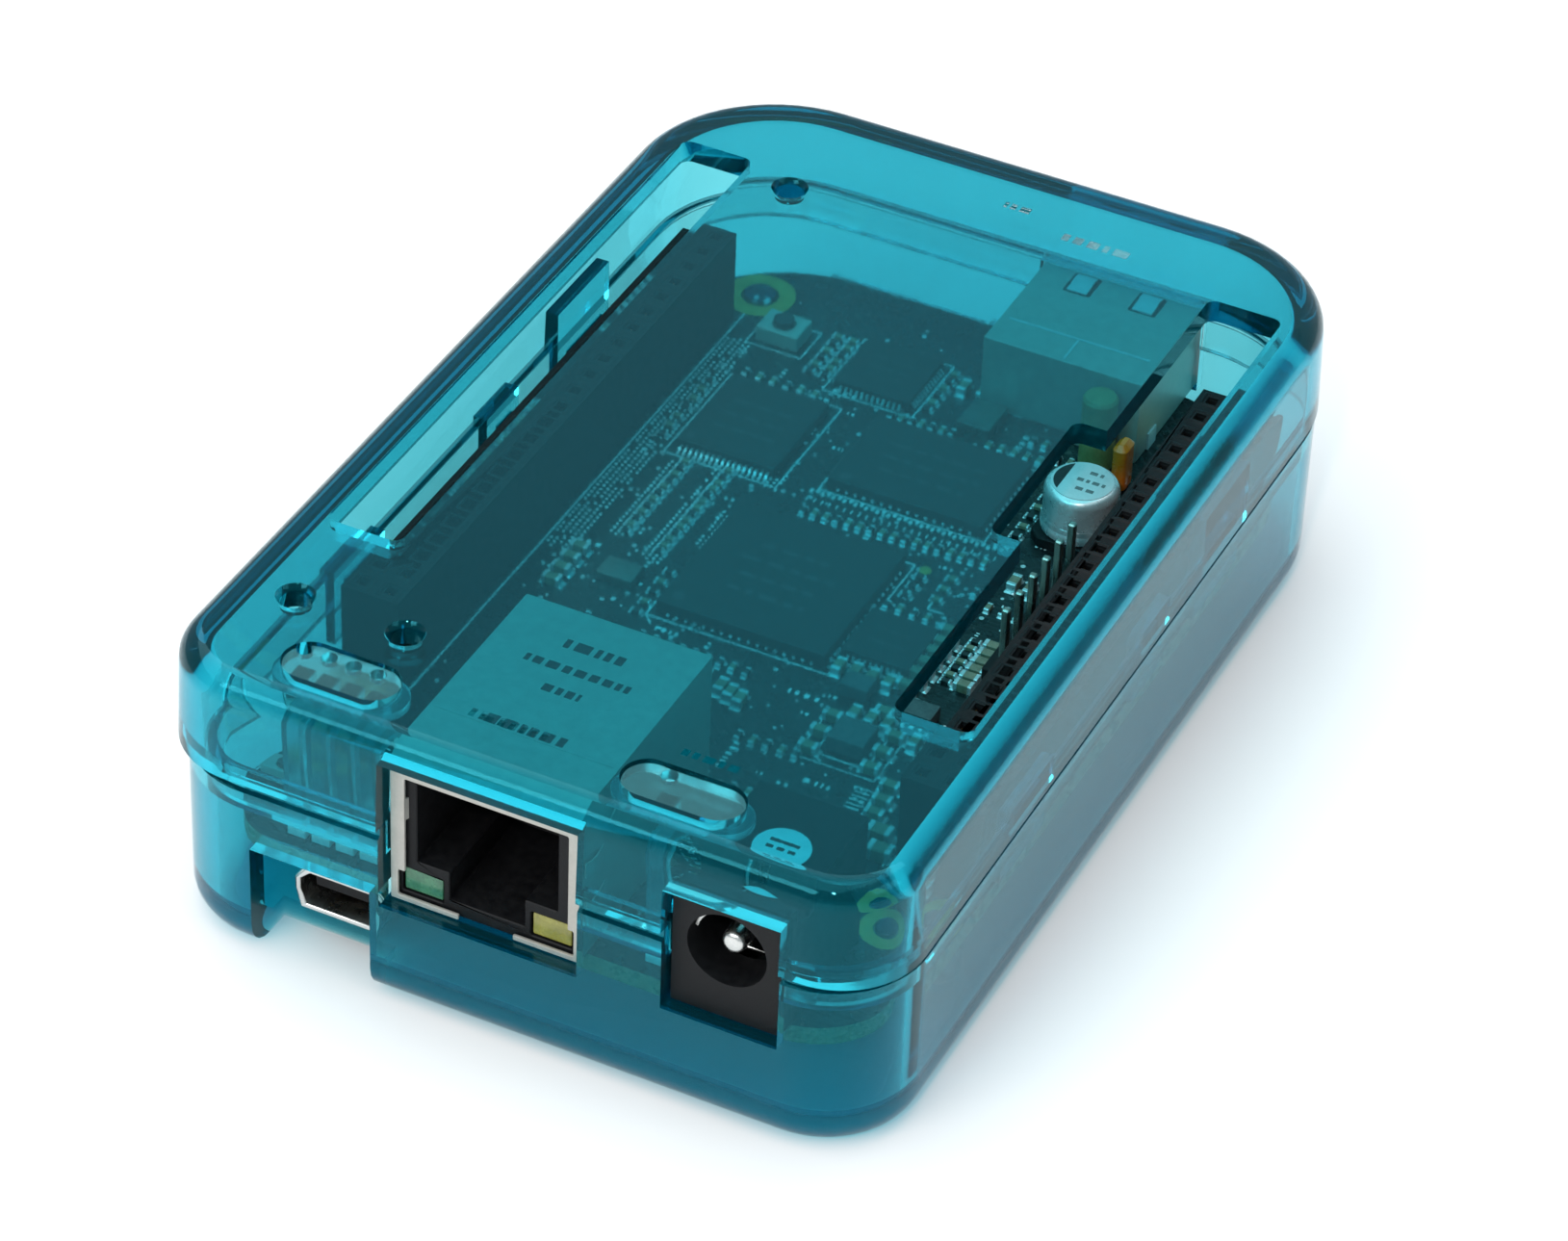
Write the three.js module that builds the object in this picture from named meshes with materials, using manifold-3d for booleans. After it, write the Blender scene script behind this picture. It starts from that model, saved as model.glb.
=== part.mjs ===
// Maker's single board computer in a two-part snap-together case.
// Millimetres, +Z up. The origin is at the centre of the case's underside. -Y is the end with the
// network, power and device sockets, +Y is the end with the host socket, +X is the power jack's side.
import * as THREE from 'three';
import { mergeVertices } from 'three/addons/utils/BufferGeometryUtils.js';
import Module from 'manifold-3d';

const wasm = await Module();
wasm.setup();

// Case.
const CASE_L = 94;
const CASE_W = 62;
const CASE_H = 25.8;
const SEAM_Z = 16.7;
const WALL = 2;
const COVER_NEAR_R = 7;
const COVER_FAR_R = 13.5;
const BASE_NEAR_R = 8.2;
const BASE_FAR_R = 13;
const COVER_FILLET = 2;
const COVER_FLARE = 0.25;
const BASE_FILLET = 2.7;
const BASE_INSET = 0.3;
const SEAM_GROOVE = 0.65;
const SEAM_GROOVE_H = 1;
const SEAM_GAP = 0.08;
const LIP_H = 3;
const LIP_T = 0.75;
const FIT = 0.25;
const COVER_INNER_EASE = 0.7;
const BASE_INNER_EASE = 1.2;
const GROOVE_STEP = 0.2;
const TAB_DROP = 5.5;
const TAB_T = 0.8;
const TAB_SHOULDER_Z = SEAM_Z + 0.5;
const TAB_TOOTH = { out: 0.5, short: 1.5, low: 3.4 };
// Snap tabs inside each long wall: middle Y, length and rise above the seam.
const TABS = [[17.5, 9, 4.4], [3.5, 5.4, 1.5], [-20, 8, 1.5]];

// Circuit board, with its own frame: X from its centre line, Y from its network end, Z from its top.
const BOARD_L = 86.36;
const BOARD_W = 54.61;
const BOARD_T = 1.6;
const BOARD_NEAR_R = 6.35;
const BOARD_FAR_R = 12.7;
const BOARD_TOP_Z = 9.36;
const BOARD_FRONT_Y = -43.06;
const HOLE_D = 3.2;
const MOUNT_HOLES = [[-24.13, 14.605], [24.13, 14.605], [-20.955, 80.645], [20.955, 80.645]];
const POST_D = 6;
const POST_FOOT_D = 7;
const PIN_D = 2.8;
const PIN_RISE = 0.3;

// Expansion headers.
const PITCH = 2.54;
const HEADER_ROWS = 23;
const HEADER_X = 24.13;
const HEADER_FIRST_Y = 19.685;
const HEADER_W = 5.08;
const HEADER_H = 8.5;
const SOCKET_W = 0.9;
const SOCKET_DEPTH = 5;
const SERIAL_X = 19.35;
const SERIAL_W = 2.5;
const SERIAL_H = 2.5;
const SERIAL_FIRST_Y = 42.7;
const SERIAL_PINS = 6;
const PIN_W = 0.64;
const PIN_TOP = 8;

// Slots in the cover over the headers.
const SLOT_W = 6.5;
const SLOT_Y0 = 17.5;
const SLOT_Y1 = 78.2;
const POCKET_X = 18.1;
const POCKET_Y0 = 40.8;
const POCKET_Y1 = 57.3;
const SLOT_R = 0.9;

// Sockets.
const ETHERNET = { x: -2.6, y: -2.3, w: 16, l: 21.3, h: 13.4, sheet: 0.3 };
const ETHERNET_PLUG = { w: 11.9, z0: 3.9, z1: 11.6, depth: 13.5 };
const ETHERNET_LATCH = { w: 6.4, z0: 1.3, z1: 4, depth: 11 };
const ETHERNET_LAMP = { x: 5.45, y: 0.6, z: 0.8, w: 3.3, l: 3.6, h: 2.1, gap: 0.1 };
const DC_JACK = { x: 17.6, y: -2.4, w: 9, l: 14.2, h: 11, bore: 6.5, boreZ: 6.5, depth: 9.5, pin: 2 };
const DC_JACK_STEP = { y: 3.4, h: 1.4 };
const DC_JACK_SLOT = { w: 3.8, y0: 3.5, y1: 13 };
const DC_JACK_BLADE = { w: 3.2, y0: 4, y1: 9.2, z: 3.8, sheet: 0.3 };
const MINI_USB = { x: -15.8, y: -1, w: 7.7, l: 9.2, h: 3.9, sheet: 0.35 };
const USB_HOST = { x: 9.5, y: 75.3, w: 14.4, l: 14.1, h: 7, sheet: 0.35 };
const MICRO_HDMI = { x: 1.6, y: 80, w: 6.5, l: 7.6, h: 2.9, sheet: 0.3 };
const MICRO_SD = { x: -10.4, y: 72.4, w: 14, l: 14.5, h: 1.9, sheet: 0.25 };
const USB_HOST_TONGUE = { w: 11.2, y: 1, z0: 4.7, z1: 6.3 };
const MINI_USB_TONGUE = { w: 5.2, y: 0.9, z0: -2.1, z1: -1.2 };
const MICRO_HDMI_TONGUE = { w: 4.4, y: 0.8, z0: -1.9, z1: -1.2 };

// Openings through the end walls, from the board's top: X from and to, Z from and to, and how far
// past the board's edge. Near end: network, power and device. Far end: host, display and memory card.
const NEAR_PORTS = [
  [-10.9, 5.9, -0.1, 13.7, 5],
  [12.9, 22.5, -0.1, 11.4, 5],
  [-22.1, -11.7, -10.4, 0.9, 1.2],
];
const FAR_PORTS = [[2, 17, -0.2, 7.3], [-2.6, 5.8, -6.1, -1.2], [-17.9, -3.1, -5.9, -1.65]];
const FAR_PORT_Y = 80;

// Buttons: tactile switches reached through round holes in the cover.
const SWITCHES = [['reset', -24.5, 8], ['power', -15, 8], ['boot', -16.4, 76]];
const SWITCH_W = 3.9;
const SWITCH_L = 3;
const SWITCH_H = 1.5;
const WELL_D = 2;
const WELL_DEPTH = 0.9;
const PLUNGER_D = 1.8;
const PLUNGER_H = 1.1;
const PLUNGER_TRAVEL = 0.25;
const BUTTON_HOLE_D = 2.5;
const BUTTON_FLARE_D = 3.3;
const BUTTON_FLARE_H = 0.5;

// Light pipes.
const USER_LED_X = [-20.3, -18.2, -16.1, -14];
const USER_WINDOW = { x: -16.95, y: 1.75, l: 9.6, w: 4.2 };
const POWER_LED_X = 10.4;
const POWER_WINDOW = { x: 11.65, y: 1.75, l: 9.8, w: 4.1 };
const LED_W = 1.6;
const LED_L = 0.9;
const LED_H = 0.8;
const WINDOW_FIT = 0.1;
const PIPE_W = 1.5;
const PIPE_GAP = 0.3;
const PIPE_DIP = { d: 1.3, x: -0.5, y: 1.25, z: 0.8 };
const PIPE_RECESS = 0.3;
const PIPE_FLANGE_T = 0.8;
const PIPE_FLANGE_L = 1.6;
const PIPE_FLANGE_W = 0.4;

// Parts soldered on top of the board: name, width, length, height, middle X and Y, and finish.
const CHIPS = [
  ['processor', 15, 15, 1.3, -1, 44.5, 'silicon'],
  ['memory_chip', 14, 10, 1.1, 3.2, 63.6, 'silicon'],
  ['storage_chip', 9, 10.5, 1, -12.7, 62.8, 'silicon'],
  ['power_manager_chip', 6, 6, 0.9, 9.9, 42, 'silicon'],
  ['network_chip', 5, 5, 0.9, -4.2, 29.5, 'silicon'],
  ['video_chip', 7, 7, 0.9, -6, 75, 'silicon'],
  ['processor_crystal', 3.2, 2.5, 0.8, -13.2, 39.8, 'nickel'],
  ['network_crystal', 3, 4, 1.3, 3.8, 72.6, 'nickel'],
  ['power_coil_1', 3.2, 3, 1.5, 12.6, 29.4, 'ferrite'],
  ['power_coil_2', 2.5, 2, 1.2, 10.1, 35.6, 'ferrite'],
  ['power_coil_3', 2.5, 2, 1.2, 15.5, 36, 'ferrite'],
];
const CAPACITOR = { x: 16.5, y: 64.2, d: 6.3, h: 5.4, crown: 0.5, base: 6.6, baseH: 1, corner: 1 };

const COVER_UNDER_Z = CASE_H - WALL;
const ROUND_SIDES = 24;
const FINE_SIDES = 32;
const SMALL_SIDES = 16;
// How far a cutting solid reaches past the face it cuts.
const CLEAR = 1;

const colour = (hex, roughness, metalness = 0) => ({ color: hex, roughness, metalness });
const FINISH = {
  shell: colour(0x1fa6bb, 0.15),
  frosted: colour(0xb9d6d8, 0.5),
  board: colour(0x14181a, 0.45),
  black: colour(0x141416, 0.5),
  steel: colour(0xb9b4aa, 0.35, 0.9),
  nickel: colour(0xc9c9c6, 0.25, 0.9),
  gold: colour(0xd4a94a, 0.3, 0.9),
  silicon: colour(0x1c1d1f, 0.55),
  aluminium: colour(0xc2c8ca, 0.3, 0.9),
  ferrite: colour(0x4c4f52, 0.6),
  green: colour(0x3f8f55, 0.4),
  yellow: colour(0xc2b640, 0.4),
  blue: colour(0x9fc6ff, 0.3),
  beige: colour(0xcfc6ae, 0.5),
};

// A closed three.js geometry as a solid that can be joined and cut.
function solid(geometry) {
  const bare = new THREE.BufferGeometry();
  bare.setAttribute('position', geometry.getAttribute('position').clone());
  if (geometry.index) bare.setIndex(geometry.index.clone());
  const merged = mergeVertices(bare, 1e-4);
  return new wasm.Manifold(new wasm.Mesh({
    numProp: 3,
    vertProperties: new Float32Array(merged.attributes.position.array),
    triVerts: new Uint32Array(merged.index.array),
  }));
}

function box(x0, x1, y0, y1, z0, z1) {
  const geometry = new THREE.BoxGeometry(x1 - x0, y1 - y0, z1 - z0);
  geometry.translate((x0 + x1) / 2, (y0 + y1) / 2, (z0 + z1) / 2);
  return solid(geometry);
}

function upright(d, x, y, z0, z1, sides = ROUND_SIDES, topD = d) {
  const geometry = new THREE.CylinderGeometry(topD / 2, d / 2, z1 - z0, sides);
  geometry.rotateX(Math.PI / 2);
  geometry.translate(x, y, (z0 + z1) / 2);
  return solid(geometry);
}

function lying(d, x, z, y0, y1, sides = ROUND_SIDES) {
  const geometry = new THREE.CylinderGeometry(d / 2, d / 2, y1 - y0, sides);
  geometry.translate(x, (y0 + y1) / 2, z);
  return solid(geometry);
}

function slab(shape, z0, z1) {
  const options = { depth: z1 - z0, bevelEnabled: false, curveSegments: 8 };
  const geometry = new THREE.ExtrudeGeometry(shape, options);
  geometry.translate(0, 0, z0);
  return solid(geometry);
}

function joined(...solids) {
  return solids.reduce((whole, piece) => whole.add(piece));
}

function cut(whole, ...cutters) {
  return cutters.reduce((rest, cutter) => rest.subtract(cutter), whole);
}

// A rectangle with one corner radius at its -Y end and another at its +Y end.
function roundedOutline(w, y0, y1, nearR, farR) {
  const h = w / 2;
  const shape = new THREE.Shape();
  shape.moveTo(-h + nearR, y0);
  shape.lineTo(h - nearR, y0);
  shape.absarc(h - nearR, y0 + nearR, nearR, -Math.PI / 2, 0);
  shape.absarc(h - farR, y1 - farR, farR, 0, Math.PI / 2);
  shape.absarc(-h + farR, y1 - farR, farR, Math.PI / 2, Math.PI);
  shape.absarc(-h + nearR, y0 + nearR, nearR, Math.PI, Math.PI * 1.5);
  return shape;
}

// The case's outline, moved inwards by an inset.
function caseOutline(inset, nearR, farR) {
  const end = CASE_L / 2 - inset;
  return roundedOutline(CASE_W - 2 * inset, -end, end, Math.max(nearR - inset, 0.5), farR - inset);
}

// A closed skin through the case's outline at a list of levels, each a height and an inset.
function caseStack(levels, nearR, farR) {
  const rings = levels.map(({ inset }) => caseOutline(inset, nearR, farR).getPoints(7));
  const count = rings[0].length - (rings[0][0].distanceTo(rings[0].at(-1)) < 1e-6 ? 1 : 0);
  const positions = [];
  rings.forEach((ring, level) => {
    for (let i = 0; i < count; i += 1) positions.push(ring[i].x, ring[i].y, levels[level].z);
  });
  const index = [];
  for (let level = 0; level + 1 < rings.length; level += 1) {
    for (let i = 0; i < count; i += 1) {
      const a = level * count + i;
      const b = level * count + ((i + 1) % count);
      index.push(a, b, b + count, a, b + count, a + count);
    }
  }
  const last = (rings.length - 1) * count;
  for (let i = 1; i + 1 < count; i += 1) {
    index.push(0, i + 1, i);
    index.push(last, last + i, last + i + 1);
  }
  const geometry = new THREE.BufferGeometry();
  geometry.setAttribute('position', new THREE.Float32BufferAttribute(positions, 3));
  geometry.setIndex(index);
  return solid(geometry);
}

// Quarter-round levels between a side and a flat face: z runs from the side to the face.
function filletLevels(sideZ, faceZ, inset, radius, steps = 5) {
  const way = Math.sign(faceZ - sideZ);
  return Array.from({ length: steps + 1 }, (_, i) => {
    const angle = (i / steps) * (Math.PI / 2);
    return {
      z: faceZ - way * radius * (1 - Math.sin(angle)),
      inset: inset + radius * (1 - Math.cos(angle)),
    };
  });
}

function roundedRectangle(x0, x1, y0, y1, r) {
  const shape = new THREE.Shape();
  shape.absarc(x1 - r, y1 - r, r, 0, Math.PI / 2);
  shape.absarc(x0 + r, y1 - r, r, Math.PI / 2, Math.PI);
  shape.absarc(x0 + r, y0 + r, r, Math.PI, Math.PI * 1.5);
  shape.absarc(x1 - r, y0 + r, r, Math.PI * 1.5, Math.PI * 2);
  return shape;
}

function stadium(x, y, l, w) {
  const half = (l - w) / 2;
  const shape = new THREE.Shape();
  shape.absarc(x + half, y, w / 2, -Math.PI / 2, Math.PI / 2);
  shape.absarc(x - half, y, w / 2, Math.PI / 2, Math.PI * 1.5);
  return shape;
}

const boardY = (y) => BOARD_FRONT_Y + y;
const boardZ = (z) => BOARD_TOP_Z + z;

// Openings through the walls and the cover, in the case's frame.
const wallPorts = [
  ...NEAR_PORTS.map(([x0, x1, z0, z1, depth]) => [x0, x1, -CASE_L, boardY(depth), z0, z1]),
  ...FAR_PORTS.map(([x0, x1, z0, z1]) => [x0, x1, boardY(FAR_PORT_Y), CASE_L, z0, z1]),
].map(([x0, x1, y0, y1, z0, z1]) => box(x0, x1, y0, y1, boardZ(z0), boardZ(z1)));

// A box at the left or the right wall: X is measured outwards from the case's middle.
function sideBox(side, x0, x1, ...rest) {
  const [low, high] = [side * x0, side * x1].sort((a, b) => a - b);
  return box(low, high, ...rest);
}

// Each snap tab hangs from a shoulder on the cover's wall and ends in a tooth.
function clipTabs() {
  const face = CASE_W / 2 - BASE_INSET - WALL - FIT;
  const back = face - TAB_T;
  const { out, short, low } = TAB_TOOTH;
  return joined(...[-1, 1].flatMap((side) => TABS.map(([y, l, rise]) => {
    const y0 = y - l / 2;
    const y1 = y + l / 2;
    const top = SEAM_Z + rise;
    return joined(
      sideBox(side, back, face, y0, y1, SEAM_Z - TAB_DROP, top),
      sideBox(side, back, CASE_W / 2 - WALL / 2, y0, y1, TAB_SHOULDER_Z, top),
      sideBox(side, back - out, back, y0 + short, y1 - short, SEAM_Z - low, SEAM_Z),
    );
  })));
}

function topCover() {
  const flat = COVER_FLARE + COVER_FILLET;
  const outside = caseStack([
    { z: SEAM_Z, inset: 0 },
    ...filletLevels(SEAM_Z, CASE_H, COVER_FLARE, COVER_FILLET),
  ], COVER_NEAR_R, COVER_FAR_R);
  const inside = caseStack([
    { z: SEAM_Z - CLEAR, inset: WALL },
    { z: COVER_UNDER_Z - 1, inset: WALL + COVER_FLARE },
    { z: COVER_UNDER_Z, inset: flat + COVER_INNER_EASE },
  ], COVER_NEAR_R, COVER_FAR_R);
  const lipInset = BASE_INSET + WALL + FIT - LIP_T;
  const lipOutside = caseStack([
    { z: SEAM_Z - LIP_H, inset: lipInset },
    { z: TAB_SHOULDER_Z, inset: lipInset },
  ], BASE_NEAR_R, BASE_FAR_R);
  const lipInside = caseStack([
    { z: SEAM_Z - LIP_H - CLEAR, inset: lipInset + LIP_T },
    { z: SEAM_Z + CLEAR, inset: lipInset + LIP_T },
  ], BASE_NEAR_R, BASE_FAR_R);
  const lip = lipOutside.subtract(lipInside);
  const cutout = (x0, x1, y0, y1) => slab(
    roundedRectangle(x0, x1, boardY(y0), boardY(y1), SLOT_R),
    COVER_UNDER_Z - CLEAR,
    CASE_H + CLEAR,
  );
  const slot = (side) => cutout(
    side * HEADER_X - SLOT_W / 2,
    side * HEADER_X + SLOT_W / 2,
    SLOT_Y0,
    SLOT_Y1,
  );
  const pocket = cutout(POCKET_X, HEADER_X, POCKET_Y0, POCKET_Y1);
  const windows = [USER_WINDOW, POWER_WINDOW].map(({ x, y, l, w }) => slab(
    stadium(x, boardY(y), l + 2 * WINDOW_FIT, w + 2 * WINDOW_FIT),
    COVER_UNDER_Z - CLEAR,
    CASE_H + CLEAR,
  ));
  const flareZ = CASE_H - BUTTON_FLARE_H;
  const fingerHoles = SWITCHES.flatMap(([, x, y]) => [
    upright(BUTTON_HOLE_D, x, boardY(y), COVER_UNDER_Z - CLEAR, CASE_H + CLEAR),
    upright(BUTTON_HOLE_D, x, boardY(y), flareZ, CASE_H + SEAM_GAP, ROUND_SIDES, BUTTON_FLARE_D),
  ]);
  const hollow = outside.subtract(inside);
  const shell = joined(hollow, lip, clipTabs());
  return cut(shell, slot(-1), slot(1), pocket, ...windows, ...fingerHoles, ...wallPorts);
}

function bottomShell() {
  const outside = caseStack([
    ...filletLevels(BASE_FILLET, 0, BASE_INSET, BASE_FILLET).reverse(),
    { z: SEAM_Z - SEAM_GROOVE_H, inset: BASE_INSET },
    { z: SEAM_Z - SEAM_GROOVE_H + GROOVE_STEP, inset: SEAM_GROOVE },
    { z: SEAM_Z - SEAM_GAP, inset: SEAM_GROOVE },
  ], BASE_NEAR_R, BASE_FAR_R);
  const innerInset = BASE_INSET + WALL;
  const ledgeZ = SEAM_Z - LIP_H - FIT;
  const inside = caseStack([
    { z: WALL, inset: innerInset + BASE_INNER_EASE },
    { z: WALL + BASE_INNER_EASE, inset: innerInset },
    { z: ledgeZ, inset: innerInset },
    { z: ledgeZ + 0.01, inset: innerInset - LIP_T },
    { z: SEAM_Z + CLEAR, inset: innerInset - LIP_T },
  ], BASE_NEAR_R, BASE_FAR_R);
  const boardUnder = BOARD_TOP_Z - BOARD_T;
  const posts = MOUNT_HOLES.map(([x, y]) => joined(
    upright(POST_FOOT_D, x, boardY(y), WALL / 2, boardUnder, ROUND_SIDES, POST_D),
    upright(PIN_D, x, boardY(y), WALL, BOARD_TOP_Z + PIN_RISE, SMALL_SIDES),
  ));
  return cut(joined(outside.subtract(inside), ...posts), ...wallPorts);
}

// A light pipe: a head in the cover's window, a flange under it, columns down to the lamps and a
// shallow dip in the head beside each lamp.
function lightPipe({ x, y, l, w }, lampXs) {
  const under = COVER_UNDER_Z - PIPE_FLANGE_T;
  const flangeTop = COVER_UNDER_Z - SEAM_GAP;
  const head = slab(stadium(x, y, l, w), under, CASE_H - PIPE_RECESS);
  const flange = slab(stadium(x, y, l + PIPE_FLANGE_L, w + PIPE_FLANGE_W), under, flangeTop);
  const columns = lampXs.map((lampX) => box(
    lampX - PIPE_W / 2,
    lampX + PIPE_W / 2,
    y - PIPE_W / 2,
    y + PIPE_W / 2,
    BOARD_TOP_Z + LED_H + PIPE_GAP,
    COVER_UNDER_Z,
  ));
  const dip = PIPE_DIP;
  const dips = lampXs.map((lampX) => (
    upright(dip.d, lampX + dip.x, y + dip.y, COVER_UNDER_Z + dip.z, CASE_H, SMALL_SIDES)
  ));
  return cut(joined(head, flange, ...columns), ...dips);
}

function circuitBoard() {
  const plate = slab(roundedOutline(BOARD_W, 0, BOARD_L, BOARD_NEAR_R, BOARD_FAR_R), -BOARD_T, 0);
  const holes = MOUNT_HOLES.map(([x, y]) => upright(HOLE_D, x, y, -BOARD_T - CLEAR, CLEAR));
  return cut(plate, ...holes);
}

function header() {
  const y0 = HEADER_FIRST_Y - PITCH / 2;
  const y1 = y0 + HEADER_ROWS * PITCH;
  const half = SOCKET_W / 2;
  const floor = HEADER_H - SOCKET_DEPTH;
  const pits = [];
  for (let row = 0; row < HEADER_ROWS; row += 1) {
    for (const x of [-PITCH / 2, PITCH / 2]) {
      const y = HEADER_FIRST_Y + row * PITCH;
      pits.push(box(x - half, x + half, y - half, y + half, floor, HEADER_H + CLEAR));
    }
  }
  return cut(box(-HEADER_W / 2, HEADER_W / 2, y0, y1, 0, HEADER_H), ...pits);
}

function ethernetShield() {
  const { w, l, h, sheet } = ETHERNET;
  const can = box(-w / 2, w / 2, 0, l, 0, h);
  const inner = box(-w / 2 + sheet, w / 2 - sheet, sheet, l - sheet, -CLEAR, h - sheet);
  const mouth = box(-6.75, 7, -CLEAR, sheet + CLEAR, 0.5, 11.9);
  const lampGaps = box(-7.35, 7.5, -CLEAR, sheet + CLEAR, 0.5, 2.9);
  const latchGap = box(-2.2, 2.4, -CLEAR, sheet + CLEAR, -CLEAR, 1);
  return cut(can, inner, mouth, lampGaps, latchGap);
}

function ethernetHousing() {
  const { w, l, h, sheet } = ETHERNET;
  const { w: plugW, z0: plugZ0, z1: plugZ1, depth: plugDepth } = ETHERNET_PLUG;
  const { w: latchW, z0: latchZ0, z1: latchZ1, depth: latchDepth } = ETHERNET_LATCH;
  const lamp = ETHERNET_LAMP;
  const gap = sheet + 0.05;
  const block = box(-w / 2 + gap, w / 2 - gap, gap + 0.1, l - gap, 0, h - gap);
  const plug = box(-plugW / 2, plugW / 2, -CLEAR, plugDepth, plugZ0, plugZ1);
  const latch = box(-latchW / 2, latchW / 2, -CLEAR, latchDepth, latchZ0, latchZ1);
  const lampHalf = lamp.w / 2 + lamp.gap;
  const lampPits = [-1, 1].map((side) => sideBox(
    side,
    lamp.x - lampHalf,
    lamp.x + lampHalf,
    -CLEAR,
    lamp.y + lamp.l + lamp.gap,
    lamp.z - lamp.gap,
    lamp.z + lamp.h + lamp.gap,
  ));
  return cut(block, plug, latch, ...lampPits);
}

function ethernetLamp() {
  const { w, l, h } = ETHERNET_LAMP;
  return box(-w / 2, w / 2, 0, l, 0, h);
}

function dcJackHousing() {
  const { w, l, h, bore, boreZ, depth } = DC_JACK;
  const block = box(-w / 2, w / 2, 0, l, 0, h);
  const half = w / 2 + CLEAR;
  const step = box(-half, half, DC_JACK_STEP.y, l + CLEAR, h - DC_JACK_STEP.h, h + CLEAR);
  const slot = DC_JACK_SLOT;
  const bottomSlot = box(-slot.w / 2, slot.w / 2, slot.y0, slot.y1, -CLEAR, boreZ);
  return cut(block, step, lying(bore, 0, boreZ, -CLEAR, depth, FINE_SIDES), bottomSlot);
}

function dcJackPin() {
  const { boreZ, depth, pin } = DC_JACK;
  return lying(pin, 0, boreZ, 0.8, depth - 0.02, SMALL_SIDES);
}

function dcJackContact() {
  const { w, y0, y1, z, sheet } = DC_JACK_BLADE;
  const blade = box(-w / 2, w / 2, y0, y1, z - sheet, z);
  const foot = box(-w / 2, w / 2, y1 - sheet, y1, 0, z);
  return joined(blade, foot);
}

// A sheet-metal socket shell lying along +Y, open at y = 0: outline in X and Z, closed at the back.
function sheetShell(outline, inner, l, sheet) {
  const along = (points, y0, y1) => {
    const shape = new THREE.Shape(points.map(([x, z]) => new THREE.Vector2(x, z)));
    const geometry = new THREE.ExtrudeGeometry(shape, { depth: y1 - y0, bevelEnabled: false });
    geometry.rotateX(Math.PI / 2);
    geometry.translate(0, y1, 0);
    return solid(geometry);
  };
  return along(outline, 0, l).subtract(along(inner, -CLEAR, l - sheet));
}

function tongue({ w, y, z0, z1 }, socket) {
  return box(-w / 2, w / 2, y, socket.l - socket.sheet - 0.05, z0, z1);
}

// The outline of a socket that hangs under the board: its upper side is at z = 0.
function miniUsbShell() {
  const { w, l, h, sheet } = MINI_USB;
  const outline = (t) => {
    const hw = w / 2 - t;
    return [
      [-hw + 0.9, -t],
      [-hw, -1.2],
      [-hw, -2.2],
      [-hw + 0.5, -h + t],
      [hw - 0.5, -h + t],
      [hw, -2.2],
      [hw, -1.2],
      [hw - 0.9, -t],
    ];
  };
  return sheetShell(outline(0), outline(sheet), l, sheet);
}

function rectangularShell({ w, l, h, sheet }, z0) {
  const outline = (t) => [
    [-w / 2 + t, z0 + t],
    [w / 2 - t, z0 + t],
    [w / 2 - t, z0 + h - t],
    [-w / 2 + t, z0 + h - t],
  ];
  return sheetShell(outline(0), outline(sheet), l, sheet);
}

function switchBody() {
  const body = box(-SWITCH_W / 2, SWITCH_W / 2, -SWITCH_L / 2, SWITCH_L / 2, 0, SWITCH_H);
  const well = upright(WELL_D, 0, 0, SWITCH_H - WELL_DEPTH, SWITCH_H + CLEAR, SMALL_SIDES);
  return body.subtract(well);
}

function switchPlunger() {
  const base = SWITCH_H - WELL_DEPTH + PLUNGER_TRAVEL + 0.1;
  return upright(PLUNGER_D, 0, 0, base, base + PLUNGER_H, SMALL_SIDES);
}

function capacitorCan() {
  const { d, h, crown, baseH } = CAPACITOR;
  const can = upright(d, 0, 0, baseH, h - crown, FINE_SIDES);
  const rim = upright(d, 0, 0, h - crown, h, FINE_SIDES, d - 0.8);
  return joined(can, rim);
}

function capacitorBase() {
  const { base, baseH, corner } = CAPACITOR;
  const half = base / 2;
  const shape = new THREE.Shape();
  shape.moveTo(-half, -half + corner);
  shape.lineTo(-half + corner, -half);
  shape.lineTo(half, -half);
  shape.lineTo(half, half);
  shape.lineTo(-half + corner, half);
  shape.lineTo(-half, half - corner);
  shape.closePath();
  return slab(shape, 0, baseH);
}

function lamp() {
  return box(-LED_W / 2, LED_W / 2, -LED_L / 2, LED_L / 2, 0, LED_H);
}

const device = new THREE.Group();
const boardTop = new THREE.Group();
boardTop.position.set(0, BOARD_FRONT_Y, BOARD_TOP_Z);
const boardUnder = new THREE.Group();
boardUnder.position.set(0, BOARD_FRONT_Y, BOARD_TOP_Z - BOARD_T);
device.add(boardTop, boardUnder);

function place(group, name, piece, finish, x = 0, y = 0, z = 0, turn = 0) {
  const made = piece.getMesh();
  const geometry = new THREE.BufferGeometry();
  geometry.setAttribute('position', new THREE.BufferAttribute(made.vertProperties, 3));
  geometry.setIndex(new THREE.BufferAttribute(made.triVerts, 1));
  geometry.computeVertexNormals();
  const mesh = new THREE.Mesh(geometry, new THREE.MeshStandardMaterial(FINISH[finish]));
  mesh.name = name;
  mesh.position.set(x, y, z);
  mesh.rotation.z = turn;
  group.add(mesh);
}

// A socket that opens towards +Y: it is modelled opening towards -Y, so it is turned round.
function placeFar(group, name, piece, finish, socket) {
  place(group, name, piece, finish, socket.x, socket.y + socket.l, 0, Math.PI);
}

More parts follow.
